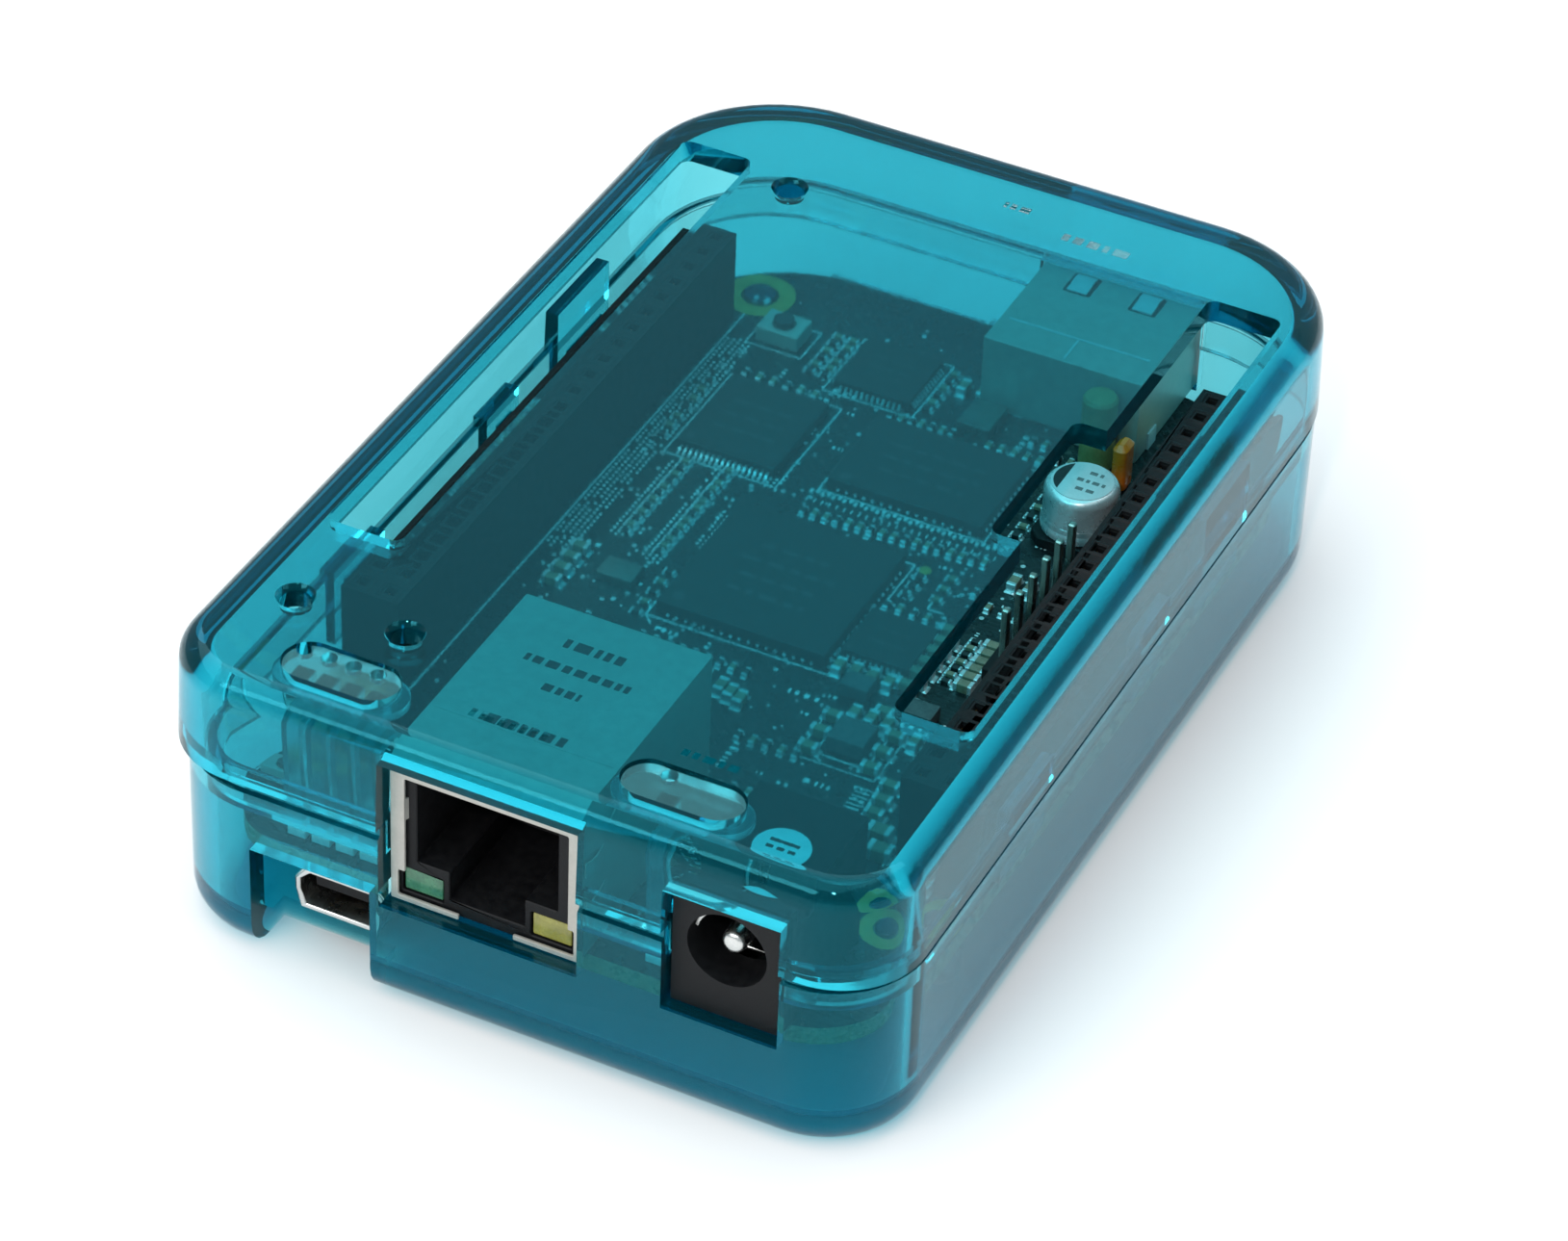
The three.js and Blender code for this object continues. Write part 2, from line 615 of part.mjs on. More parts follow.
// Case, cover and light pipes.
place(device, 'bottom_shell', bottomShell(), 'shell');
place(device, 'top_cover', topCover(), 'shell');
const pipeAtBoard = [0, BOARD_FRONT_Y, 0];
place(device, 'user_light_pipe', lightPipe(USER_WINDOW, USER_LED_X), 'frosted', ...pipeAtBoard);
place(device, 'power_light_pipe', lightPipe(POWER_WINDOW, [POWER_LED_X]), 'frosted', ...pipeAtBoard);

// Board and headers.
place(boardTop, 'circuit_board', circuitBoard(), 'board');
place(boardTop, 'left_header', header(), 'black', -HEADER_X);
place(boardTop, 'right_header', header(), 'black', HEADER_X);
const serialLength = SERIAL_PINS * PITCH;
place(
  boardTop,
  'serial_header',
  box(-SERIAL_W / 2, SERIAL_W / 2, -PITCH / 2, serialLength - PITCH / 2, 0, SERIAL_H),
  'black',
  SERIAL_X,
  SERIAL_FIRST_Y,
);
for (let i = 0; i < SERIAL_PINS; i += 1) {
  const pin = box(-PIN_W / 2, PIN_W / 2, -PIN_W / 2, PIN_W / 2, SERIAL_H, PIN_TOP);
  place(boardTop, `serial_pin_${i + 1}`, pin, 'gold', SERIAL_X, SERIAL_FIRST_Y + i * PITCH);
}

// Sockets on top of the board.
place(boardTop, 'ethernet_shield', ethernetShield(), 'steel', ETHERNET.x, ETHERNET.y);
place(boardTop, 'ethernet_housing', ethernetHousing(), 'black', ETHERNET.x, ETHERNET.y);
for (const [side, name, finish] of [[-1, 'left', 'green'], [1, 'right', 'yellow']]) {
  const { x, y, z } = ETHERNET_LAMP;
  const at = [ETHERNET.x + side * x, ETHERNET.y + y, z];
  place(boardTop, `ethernet_${name}_lamp`, ethernetLamp(), finish, ...at);
}
place(boardTop, 'power_jack_housing', dcJackHousing(), 'black', DC_JACK.x, DC_JACK.y);
place(boardTop, 'power_jack_pin', dcJackPin(), 'nickel', DC_JACK.x, DC_JACK.y);
place(boardTop, 'power_jack_contact', dcJackContact(), 'nickel', DC_JACK.x, DC_JACK.y);
placeFar(boardTop, 'usb_host_shell', rectangularShell(USB_HOST, 0), 'nickel', USB_HOST);
placeFar(boardTop, 'usb_host_tongue', tongue(USB_HOST_TONGUE, USB_HOST), 'black', USB_HOST);

// Sockets under the board.
place(boardUnder, 'mini_usb_shell', miniUsbShell(), 'nickel', MINI_USB.x, MINI_USB.y);
const miniTongue = tongue(MINI_USB_TONGUE, MINI_USB);
place(boardUnder, 'mini_usb_tongue', miniTongue, 'black', MINI_USB.x, MINI_USB.y);
const hdmiShell = rectangularShell(MICRO_HDMI, -MICRO_HDMI.h);
placeFar(boardUnder, 'micro_hdmi_shell', hdmiShell, 'nickel', MICRO_HDMI);
const hdmiTongue = tongue(MICRO_HDMI_TONGUE, MICRO_HDMI);
placeFar(boardUnder, 'micro_hdmi_tongue', hdmiTongue, 'black', MICRO_HDMI);
const cardSocket = rectangularShell(MICRO_SD, -MICRO_SD.h);
placeFar(boardUnder, 'memory_card_socket', cardSocket, 'nickel', MICRO_SD);

// Buttons.
for (const [name, x, y] of SWITCHES) {
  place(boardTop, `${name}_switch_body`, switchBody(), 'nickel', x, y);
  place(boardTop, `${name}_switch_plunger`, switchPlunger(), 'beige', x, y);
}

// Lamps.
USER_LED_X.forEach((x, i) => {
  place(boardTop, `user_led_${i + 1}`, lamp(), 'blue', x, USER_WINDOW.y);
});
place(boardTop, 'power_led', lamp(), 'blue', POWER_LED_X, POWER_WINDOW.y);

// Chips, crystals, coils and the large capacitor.
for (const [name, w, l, h, x, y, finish] of CHIPS) {
  place(boardTop, name, box(-w / 2, w / 2, -l / 2, l / 2, 0, h), finish, x, y);
}
place(boardTop, 'capacitor_base', capacitorBase(), 'black', CAPACITOR.x, CAPACITOR.y);
place(boardTop, 'capacitor_can', capacitorCan(), 'aluminium', CAPACITOR.x, CAPACITOR.y);

export default device;
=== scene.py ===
import math
import random

import bmesh
import bpy
from mathutils import Matrix, Vector


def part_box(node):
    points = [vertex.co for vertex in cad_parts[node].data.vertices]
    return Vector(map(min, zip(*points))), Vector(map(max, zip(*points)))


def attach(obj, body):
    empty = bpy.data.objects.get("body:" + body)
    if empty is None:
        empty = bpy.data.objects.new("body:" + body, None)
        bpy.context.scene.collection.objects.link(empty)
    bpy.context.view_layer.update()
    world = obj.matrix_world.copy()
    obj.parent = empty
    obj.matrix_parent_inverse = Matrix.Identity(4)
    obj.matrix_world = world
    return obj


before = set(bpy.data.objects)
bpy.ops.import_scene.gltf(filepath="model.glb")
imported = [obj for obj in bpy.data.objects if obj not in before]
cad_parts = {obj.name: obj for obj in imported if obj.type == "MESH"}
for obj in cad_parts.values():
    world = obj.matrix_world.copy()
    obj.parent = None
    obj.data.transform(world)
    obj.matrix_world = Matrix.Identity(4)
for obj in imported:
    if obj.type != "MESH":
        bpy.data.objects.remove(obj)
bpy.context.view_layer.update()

MM = 0.001
QUARTER = math.pi / 2
WELD_REACH = 0.004 * MM
FLAT_ANGLE = math.radians(0.4)
NEW_SHARP_ANGLE = math.radians(32)
CAD_SHARP_ANGLE = math.radians(34)
rng = random.Random(11)


def corners_mm(node):
    """A CAD node's lowest and highest corner in millimetres."""
    low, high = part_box(node)
    return low / MM, high / MM


BOARD_LOW, BOARD_HIGH = corners_mm("circuit_board")
BOARD_TOP = BOARD_HIGH.z
BOARD_FRONT = BOARD_LOW.y
COVER_TOP = corners_mm("top_cover")[1].z


def on_board(x, y, z=0.0):
    """A point given from the board's centre line, its network end and its top face."""
    return Vector((x, BOARD_FRONT + y, BOARD_TOP + z))


# ---------------------------------------------------------------- mesh building


def rounded(x, y, sx, sy, radius, steps=3, turn=0.0):
    """A rectangle's outline with round corners, counter-clockwise, as 2-D points."""
    radius = max(min(radius, sx / 2 - 1e-4, sy / 2 - 1e-4), 1e-4)
    points = []
    for corner, (cx, cy) in enumerate([(1, 1), (-1, 1), (-1, -1), (1, -1)]):
        for i in range(steps + 1):
            a = math.radians(90 * corner + 90 * i / steps)
            points.append((cx * (sx / 2 - radius) + radius * math.cos(a),
                           cy * (sy / 2 - radius) + radius * math.sin(a)))
    c, s = math.cos(turn), math.sin(turn)
    return [(x + px * c - py * s, y + px * s + py * c) for px, py in points]


class Work:
    """A mesh built up in millimetres in the part's frame."""

    def __init__(self):
        self.bm = bmesh.new()

    def loft(self, rings, capped=True):
        """A skin over a list of closed outlines, with a face on each end unless it is left open."""
        made = [[self.bm.verts.new(p) for p in ring] for ring in rings]
        for a, b in zip(made, made[1:]):
            n = len(a)
            for i in range(n):
                self.bm.faces.new((a[i], a[(i + 1) % n], b[(i + 1) % n], b[i]))
        if capped:
            self.bm.faces.new(made[0][::-1])
            self.bm.faces.new(made[-1])

    def block(self, x, y, z0, z1, sx, sy, radius=0.05, chamfer=0.05, turn=0.0, steps=1, foot=0.0):
        """An upright block with round corners and a chamfered top."""
        rings = []
        levels = [(z0, foot), (z0 + foot, 0.0)] if foot else [(z0, 0.0)]
        levels += [(z1 - chamfer, 0.0), (z1, chamfer)]
        for z, inset in levels:
            corner = max(radius - inset, 0.01)
            outline = rounded(x, y, sx - 2 * inset, sy - 2 * inset, corner, steps, turn)
            rings.append([(px, py, z) for px, py in outline])
        self.loft(rings)

    def lathe(self, x, y, profile, sides=32, capped=True):
        """A turned piece about the upright line through x, y; profile is (radius, z)."""
        rings = []
        for r, z in profile:
            rings.append([(x + r * math.cos(2 * math.pi * i / sides),
                           y + r * math.sin(2 * math.pi * i / sides), z) for i in range(sides)])
        self.loft(rings, capped)

    def ring(self, x, y, z0, z1, inner, outer, sides=40):
        """A flat washer with a small edge round."""
        edge = min(0.02, (z1 - z0) / 3)
        profile = [(inner, z0), (outer, z0), (outer, z1 - edge),
                   (outer - edge, z1), (inner + edge, z1), (inner, z1 - edge)]
        rings = []
        for i in range(sides):
            a = 2 * math.pi * i / sides
            rings.append([(x + r * math.cos(a), y + r * math.sin(a), z) for r, z in profile])
        made = [[self.bm.verts.new(p) for p in ring] for ring in rings]
        n = len(profile)
        for i in range(sides):
            a, b = made[i], made[(i + 1) % sides]
            for k in range(n):
                self.bm.faces.new((a[k], b[k], b[(k + 1) % n], a[(k + 1) % n]))

    def strip(self, path, across, width, thick):
        """A bent strip of sheet along a path."""
        path = [Vector(p) for p in path]
        across = Vector(across).normalized()
        rings = []
        for i, p in enumerate(path):
            along = (path[min(i + 1, len(path) - 1)] - path[max(i - 1, 0)]).normalized()
            up = across.cross(along).normalized() * thick / 2
            side = across * width / 2
            rings.append([p - side - up, p + side - up, p + side + up, p - side + up])
        self.loft(rings)

    def done(self, name, body, slot, material):
        """Turns the mesh into a named piece that moves with a body."""
        bmesh.ops.recalc_face_normals(self.bm, faces=self.bm.faces)
        bmesh.ops.scale(self.bm, vec=(MM, MM, MM), verts=self.bm.verts)
        mesh = bpy.data.meshes.new(name)
        self.bm.to_mesh(mesh)
        self.bm.free()
        for p in mesh.polygons:
            p.use_smooth = True
        mesh.set_sharp_from_angle(angle=NEW_SHARP_ANGLE)
        obj = bpy.data.objects.new(name, mesh)
        bpy.context.scene.collection.objects.link(obj)
        mesh.materials.append(material)
        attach(obj, body)


def node_group(name, build):
    """A geometry node group with one geometry in and one out."""
    tree = bpy.data.node_groups.new(name, "GeometryNodeTree")
    tree.interface.new_socket("Geometry", in_out="INPUT", socket_type="NodeSocketGeometry")
    tree.interface.new_socket("Geometry", in_out="OUTPUT", socket_type="NodeSocketGeometry")
    start, end = tree.nodes.new("NodeGroupInput"), tree.nodes.new("NodeGroupOutput")
    tree.links.new(build(tree, start.outputs[0]), end.inputs[0])
    return tree


def build_weld(tree, geometry):
    """Joins the faceted solid's loose corners and drops its stored normals."""
    weld = tree.nodes.new("GeometryNodeMergeByDistance")
    weld.inputs["Distance"].default_value = WELD_REACH
    tree.links.new(geometry, weld.inputs["Geometry"])
    bare = tree.nodes.new("GeometryNodeRemoveAttribute")
    bare.inputs["Name"].default_value = "custom_normal"
    tree.links.new(weld.outputs[0], bare.inputs["Geometry"])
    return bare.outputs[0]


def build_smooth(tree, geometry):
    """Shades faces smooth except across sharp edges."""
    angle = tree.nodes.new("GeometryNodeInputMeshEdgeAngle")
    limit = tree.nodes.new("FunctionNodeCompare")
    limit.operation = "LESS_THAN"
    limit.inputs["B"].default_value = CAD_SHARP_ANGLE
    tree.links.new(angle.outputs["Unsigned Angle"], limit.inputs["A"])
    faces = tree.nodes.new("GeometryNodeSetShadeSmooth")
    tree.links.new(geometry, faces.inputs["Geometry"])
    edges = tree.nodes.new("GeometryNodeSetShadeSmooth")
    edges.domain = "EDGE"
    tree.links.new(faces.outputs[0], edges.inputs["Geometry"])
    tree.links.new(limit.outputs[0], edges.inputs["Shade Smooth"])
    return edges.outputs[0]


WELD = node_group("weld_seams", build_weld)
SMOOTH = node_group("smooth_by_angle", build_smooth)


def polish(node, material, bevel=0.0, segments=2):
    """Gives a CAD node its finish, with rounded edges and smooth curved faces."""
    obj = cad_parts[node]
    obj.data.materials.clear()
    obj.data.materials.append(material)
    weld = obj.modifiers.new("weld", "NODES")
    weld.node_group = WELD
    if bevel:
        flat = obj.modifiers.new("flat", "DECIMATE")
        flat.decimate_type = "DISSOLVE"
        flat.angle_limit = FLAT_ANGLE
        edge = obj.modifiers.new("edge", "BEVEL")
        edge.width = bevel * MM
        edge.segments = segments
        edge.limit_method = "ANGLE"
        edge.angle_limit = CAD_SHARP_ANGLE
        edge.miter_outer = "MITER_ARC"
    smooth = obj.modifiers.new("smooth", "NODES")
    smooth.node_group = SMOOTH
    normals = obj.modifiers.new("normals", "WEIGHTED_NORMAL")
    normals.keep_sharp = True
    normals.weight = 80


# ---------------------------------------------------------------- materials


class Shader:
    """A node material with its Principled node and a few short ways to feed it."""

    def __init__(self, name, roughness=0.5, metallic=0.0, **fixed):
        self.material = bpy.data.materials.new(name)
        self.material.use_nodes = True
        self.tree = self.material.node_tree
        self.bsdf = next(n for n in self.tree.nodes if n.type == "BSDF_PRINCIPLED")
        self.out = next(n for n in self.tree.nodes if n.type == "OUTPUT_MATERIAL")
        self.bsdf.inputs["Roughness"].default_value = roughness
        self.bsdf.inputs["Metallic"].default_value = metallic
        for socket, value in fixed.items():
            self.bsdf.inputs[socket.replace("_", " ")].default_value = value
        self.coords = self.tree.nodes.new("ShaderNodeTexCoord").outputs["Object"]

    def node(self, kind, **settings):
        made = self.tree.nodes.new("ShaderNode" + kind)
        for key, value in settings.items():
            setattr(made, key, value)
        return made

    def link(self, a, b):
        self.tree.links.new(a, b)

    def stretched(self, x=1.0, y=1.0, z=1.0):
        mapping = self.node("Mapping")
        mapping.inputs["Scale"].default_value = (x, y, z)
        self.link(self.coords, mapping.inputs["Vector"])
        return mapping.outputs[0]

    def noise(self, size, detail=3.0, rough=0.55, coords=None, distortion=0.0):
        """Noise whose features are about size millimetres."""
        made = self.node("TexNoise")
        made.inputs["Scale"].default_value = 1 / (size * MM)
        made.inputs["Detail"].default_value = detail
        made.inputs["Roughness"].default_value = rough
        made.inputs["Distortion"].default_value = distortion
        self.link(coords or self.coords, made.inputs["Vector"])
        return made.outputs["Fac"]

    def cells(self, size):
        """Distance from the nearest of many points about size millimetres apart."""
        made = self.node("TexVoronoi")
        made.inputs["Scale"].default_value = 1 / (size * MM)
        self.link(self.coords, made.inputs["Vector"])
        return made.outputs["Distance"]

    def courses(self, size, coords, mortar, width, height, **settings):
        """Staggered bars with gaps between them; size is the texture's unit in millimetres."""
        made = self.node("TexBrick", **settings)
        made.inputs["Scale"].default_value = 1 / (size * MM)
        made.inputs["Mortar Size"].default_value = mortar
        made.inputs["Brick Width"].default_value = width
        made.inputs["Row Height"].default_value = height
        self.link(coords, made.inputs["Vector"])
        return made.outputs["Fac"]

    def ramp(self, fac, *stops):
        made = self.node("ValToRGB")
        ramp = made.color_ramp
        while len(ramp.elements) < len(stops):
            ramp.elements.new(0.5)
        for element, (at, colour) in zip(ramp.elements, stops):
            element.position = at
            element.color = (*colour, 1)
        self.link(fac, made.inputs["Fac"])
        return made.outputs["Color"]

    def ranged(self, fac, low, high, start=0.3, end=0.7):
        made = self.node("MapRange")
        for socket, value in zip(("From Min", "From Max", "To Min", "To Max"), (start, end, low, high)):
            made.inputs[socket].default_value = value
        self.link(fac, made.inputs["Value"])
        return made.outputs["Result"]

    def maths(self, operation, *values):
        made = self.node("Math", operation=operation)
        for socket, value in zip(made.inputs, values):
            if isinstance(value, (int, float)):
                socket.default_value = value
            else:
                self.link(value, socket)
        return made.outputs[0]

    def mix(self, fac, a, b):
        made = self.node("Mix", data_type="RGBA")
        self.link(fac, made.inputs["Factor"])
        for socket, value in ((made.inputs[6], a), (made.inputs[7], b)):
            if isinstance(value, tuple):
                socket.default_value = (*value, 1)
            else:
                self.link(value, socket)
        return made.outputs[2]

    def bump(self, height, depth, strength=1.0, after=None):
        """depth is the height of the relief in millimetres."""
        made = self.node("Bump")
        made.inputs["Strength"].default_value = strength
        made.inputs["Distance"].default_value = depth * MM
        self.link(height, made.inputs["Height"])
        if after is not None:
            self.link(after, made.inputs["Normal"])
        return made.outputs["Normal"]

    def blend(self, a, b, share):
        """A weighted sum of two values, share of it from the second."""
        return self.maths("ADD", self.maths("MULTIPLY", a, 1 - share), self.maths("MULTIPLY", b, share))

    def mix_shader(self, fac, a, b):
        made = self.node("MixShader")
        for socket, value in zip(made.inputs, (fac, a, b)):
            self.link(value, socket)
        return made.outputs[0]

    def feed(self, **sockets):
        for name, value in sockets.items():
            self.link(value, self.bsdf.inputs[name.replace("_", " ")])


def grained(name, dark, light, roughness, size, relief, metallic=0.0, spread=0.08, **fixed):
    """A finish with mottled colour, uneven gloss and a fine surface grain."""
    s = Shader(name, roughness, metallic, **fixed)
    broad = s.noise(size * 6, 4)
    fine = s.noise(size, 3, 0.6)
    s.feed(
        Base_Color=s.ramp(s.blend(broad, fine, 0.4), (0.35, dark), (0.65, light)),
        Roughness=s.ranged(broad, roughness - spread, roughness + spread),
        Normal=s.bump(fine, relief),
    )
    return s.material


def brushed(name, dark, light, roughness, relief, along="x", size=0.12):
    """Rolled or plated metal with fine lines one way, smudges and small dents."""
    s = Shader(name, roughness, 1.0)
    scales = {"x": (0.06, 1, 1), "y": (1, 0.06, 1), "z": (1, 1, 0.06)}[along]
    lines = s.noise(size, 4, 0.7, s.stretched(*scales))
    smudge = s.noise(2.5, 4, 0.6)
    fine = s.noise(size * 0.6, 2)
    s.feed(
        Base_Color=s.ramp(s.blend(lines, smudge, 0.5), (0.35, dark), (0.65, light)),
        Roughness=s.ranged(smudge, roughness - 0.07, roughness + 0.1),
        Normal=s.bump(fine, relief * 0.5, 1.0, s.bump(lines, relief)),
    )
    return s.material


def tinted_plastic(name, absorbed, density, skin, body_tint, haze, roughness):
    """Clear plastic tinted through its thickness, with a little scatter, which lets lamps through."""
    relief = 0.004
    s = Shader(name, roughness, 0.0, IOR=1.5, Specular_Tint=(0.10, 0.75, 0.9, 1))
    s.bsdf.inputs["Transmission Weight"].default_value = 1.0
    flow = s.noise(9, 3, 0.5, s.stretched(1, 0.35, 1), 0.6)
    fine = s.noise(0.35, 3, 0.6)
    dust = s.cells(1.3)
    dull_skin = tuple(c * 0.96 for c in skin)
    dust_tint = tuple(min(c * 1.6 + 0.02, 1) for c in body_tint)
    s.feed(
        Base_Color=s.ramp(flow, (0.3, dull_skin), (0.7, skin)),
        Roughness=s.ranged(s.noise(1.6, 4), max(roughness - 0.015, 0.0), roughness + 0.03),
        Normal=s.bump(fine, relief * 0.25, 1.0, s.bump(flow, relief * 1.5)),
    )
    scatter = s.node("BsdfDiffuse")
    s.link(s.ramp(dust, (0.02, dust_tint), (0.06, body_tint)), scatter.inputs["Color"])
    outer = s.maths("SUBTRACT", 1.0, s.node("NewGeometry").outputs["Backfacing"])
    body = s.mix_shader(s.maths("MULTIPLY", outer, haze), s.bsdf.outputs[0], scatter.outputs[0])
    through = s.node("BsdfTransparent")
    through.inputs["Color"].default_value = (*[c * (1 - haze * 0.5) for c in skin], 1)
    path = s.node("LightPath")
    lit = s.maths("MAXIMUM", path.outputs["Is Shadow Ray"], path.outputs["Is Diffuse Ray"])
    s.link(s.mix_shader(lit, body, through.outputs[0]), s.out.inputs["Surface"])
    tint = s.node("VolumeAbsorption")
    tint.inputs["Color"].default_value = (*absorbed, 1)
    tint.inputs["Density"].default_value = density
    s.link(tint.outputs[0], s.out.inputs["Volume"])
    return s.material


SHELL = tinted_plastic("shell_plastic", (0.01, 0.77, 0.835), 840, (0.92, 1.0, 1.0), (0.0, 0.34, 0.46),
                       haze=0.06, roughness=0.03)
FROSTED = tinted_plastic("frosted_plastic", (0.2, 0.85, 0.89), 300, (0.7, 0.9, 0.92), (0.09, 0.27, 0.30),
                         haze=0.25, roughness=0.2)


def board_material():
    """Dark solder mask over copper traces and planes, with the laminate's pale edge."""
    s = Shader("solder_mask", 0.3)
    turned = s.node("Mapping")
    turned.inputs["Rotation"].default_value = (0, 0, math.radians(45))
    s.link(s.coords, turned.inputs["Vector"])
    lines = s.courses(0.9, s.coords, 0.09, 5.0, 0.55, offset=0.37, squash=1.7)
    slant = s.courses(1.3, turned.outputs[0], 0.07, 4.0, 0.7, offset=0.5, squash=1.0)
    areas = s.ranged(s.noise(7, 2), 0, 1, 0.46, 0.54)
    tracks = s.mix(areas, lines, slant)
    vias = s.ranged(s.cells(1.5), 1, 0, 0.13, 0.17)
    mask = s.mix(tracks, (0.004, 0.007, 0.008), (0.010, 0.018, 0.020))
    mask = s.mix(vias, mask, (0.05, 0.055, 0.05))
    normal = s.node("NewGeometry")
    split = s.node("SeparateXYZ")
    s.link(normal.outputs["Normal"], split.inputs[0])
    edge = s.ranged(s.maths("ABSOLUTE", split.outputs["Z"]), 1, 0, 0.3, 0.6)
    laminate = s.ramp(s.noise(0.3), (0.3, (0.10, 0.09, 0.04)), (0.7, (0.2, 0.17, 0.09)))
    s.feed(
        Base_Color=s.mix(edge, mask, laminate),
        Roughness=s.ranged(s.noise(1.2), 0.22, 0.38),
        Normal=s.bump(s.noise(0.25), 0.006, 1.0, s.bump(tracks, 0.03)),
    )
    return s.material


BOARD = board_material()
BLACK = grained("moulded_black", (0.003, 0.003, 0.004), (0.009, 0.009, 0.010), 0.55, 0.12, 0.010,
                Specular_IOR_Level=0.22)
INK = grained("black_ink", (0.006, 0.007, 0.008), (0.016, 0.017, 0.018), 0.6, 0.1, 0.006)
EPOXY = grained("chip_epoxy", (0.006, 0.007, 0.008), (0.016, 0.017, 0.018), 0.5, 0.06, 0.006)
STEEL = grained("tinned_steel", (0.40, 0.375, 0.34), (0.47, 0.44, 0.40), 0.4, 0.15, 0.004, 0.35, 0.05)
NICKEL = brushed("nickel_plate", (0.5, 0.5, 0.48), (0.74, 0.74, 0.72), 0.24, 0.003, "y")
GOLD = brushed("gold_plate", (0.40, 0.26, 0.08), (0.66, 0.47, 0.18), 0.26, 0.003, "y")
RING = grained("gold_pad", (0.56, 0.30, 0.06), (0.70, 0.39, 0.10), 0.4, 0.25, 0.01, 0.4)
TIN = grained("solder_tin", (0.50, 0.51, 0.52), (0.78, 0.79, 0.80), 0.32, 0.15, 0.02, 0.6)
ALUMINIUM = grained("aluminium_can", (0.62, 0.65, 0.66), (0.76, 0.79, 0.80), 0.28, 0.2, 0.004, 0.6, 0.05)
CAN_TOP = grained("can_top", (0.50, 0.53, 0.54), (0.60, 0.63, 0.64), 0.4, 0.2, 0.004, 0.15, 0.05)
PIN = brushed("pin_plate", (0.30, 0.28, 0.25), (0.55, 0.52, 0.47), 0.28, 0.003, "z")
AMBER = grained("amber_coating", (0.75, 0.13, 0.003), (0.90, 0.19, 0.008), 0.3, 0.2, 0.01,
                Coat_Weight=0.4)
OLIVE = grained("olive_coating", (0.20, 0.17, 0.06), (0.30, 0.26, 0.11), 0.45, 0.2, 0.01)
SILK = grained("marking_ink", (0.66, 0.70, 0.70), (0.86, 0.9, 0.9), 0.6, 0.1, 0.01)
FAINT = grained("laser_marking", (0.030, 0.032, 0.032), (0.055, 0.058, 0.058), 0.6, 0.08, 0.005)
GREY_INK = grained("grey_marking", (0.10, 0.11, 0.11), (0.17, 0.18, 0.18), 0.6, 0.08, 0.005)
CERAMIC = grained("ceramic_tan", (0.16, 0.12, 0.08), (0.32, 0.25, 0.17), 0.45, 0.15, 0.01)
FERRITE = grained("ferrite", (0.05, 0.052, 0.055), (0.11, 0.112, 0.115), 0.6, 0.1, 0.012)
CRYSTAL = brushed("crystal_lid", (0.14, 0.14, 0.13), (0.24, 0.235, 0.22), 0.3, 0.003, "x")
LED_WHITE = grained("led_body", (0.55, 0.6, 0.6), (0.8, 0.84, 0.84), 0.35, 0.1, 0.005, Coat_Weight=0.6)
GREEN = grained("green_lens", (0.01, 0.09, 0.045), (0.05, 0.20, 0.10), 0.25, 0.25, 0.01,
                Coat_Weight=0.5)
YELLOW = grained("yellow_lens", (0.17, 0.16, 0.02), (0.32, 0.29, 0.05), 0.25, 0.25, 0.01,
                 Coat_Weight=0.5)
BUTTON = grained("button_black", (0.01, 0.011, 0.012), (0.03, 0.032, 0.034), 0.35, 0.1, 0.008)
LABEL = grained("label_paper", (0.52, 0.72, 0.74), (0.66, 0.84, 0.86), 0.55, 0.2, 0.006)

# ---------------------------------------------------------------- CAD nodes and their finishes

polish("top_cover", SHELL, 0.22, 2)
polish("bottom_shell", SHELL, 0.18, 2)
polish("user_light_pipe", FROSTED, 0.15, 2)
polish("power_light_pipe", FROSTED, 0.15, 2)
polish("circuit_board", BOARD)
for name in ("left_header", "right_header", "serial_header"):
    polish(name, BLACK, 0.08, 1)
for i in range(1, 7):
    polish(f"serial_pin_{i}", PIN, 0.12, 1)
polish("ethernet_shield", STEEL, 0.12, 2)
polish("ethernet_housing", BLACK, 0.08, 1)
polish("ethernet_left_lamp", GREEN, 0.15, 2)
polish("ethernet_right_lamp", YELLOW, 0.15, 2)
polish("power_jack_housing", BLACK, 0.12, 2)
polish("power_jack_pin", NICKEL, 0.55, 4)
polish("power_jack_contact", NICKEL, 0.05, 1)
polish("usb_host_shell", STEEL, 0.12, 2)
polish("usb_host_tongue", LED_WHITE, 0.1, 1)
polish("mini_usb_shell", NICKEL, 0.06, 1)
polish("mini_usb_tongue", BLACK, 0.05, 1)
polish("micro_hdmi_shell", NICKEL, 0.06, 1)
polish("micro_hdmi_tongue", BLACK, 0.05, 1)
polish("memory_card_socket", NICKEL, 0.06, 1)
for side in ("reset", "power", "boot"):
    polish(f"{side}_switch_body", STEEL, 0.08, 1)
    polish(f"{side}_switch_plunger", BUTTON, 0.08, 2)
for i in range(1, 5):
    polish(f"user_led_{i}", LED_WHITE, 0.06, 1)
polish("power_led", LED_WHITE, 0.06, 1)
for name in ("processor", "memory_chip", "storage_chip", "power_manager_chip", "network_chip",
             "video_chip"):
    polish(name, EPOXY, 0.06, 1)
for name in ("processor_crystal", "network_crystal"):
    polish(name, CRYSTAL, 0.1, 2)
for i in range(1, 4):
    polish(f"power_coil_{i}", FERRITE, 0.12, 2)
polish("capacitor_base", BLACK, 0.08, 1)
polish("capacitor_can", ALUMINIUM, 0.3, 3)

# ---------------------------------------------------------------- expansion headers

HEADER_PITCH = 2.54
HEADER_ROWS = 23
LEAF_W = 0.6
LEAF_T = 0.12


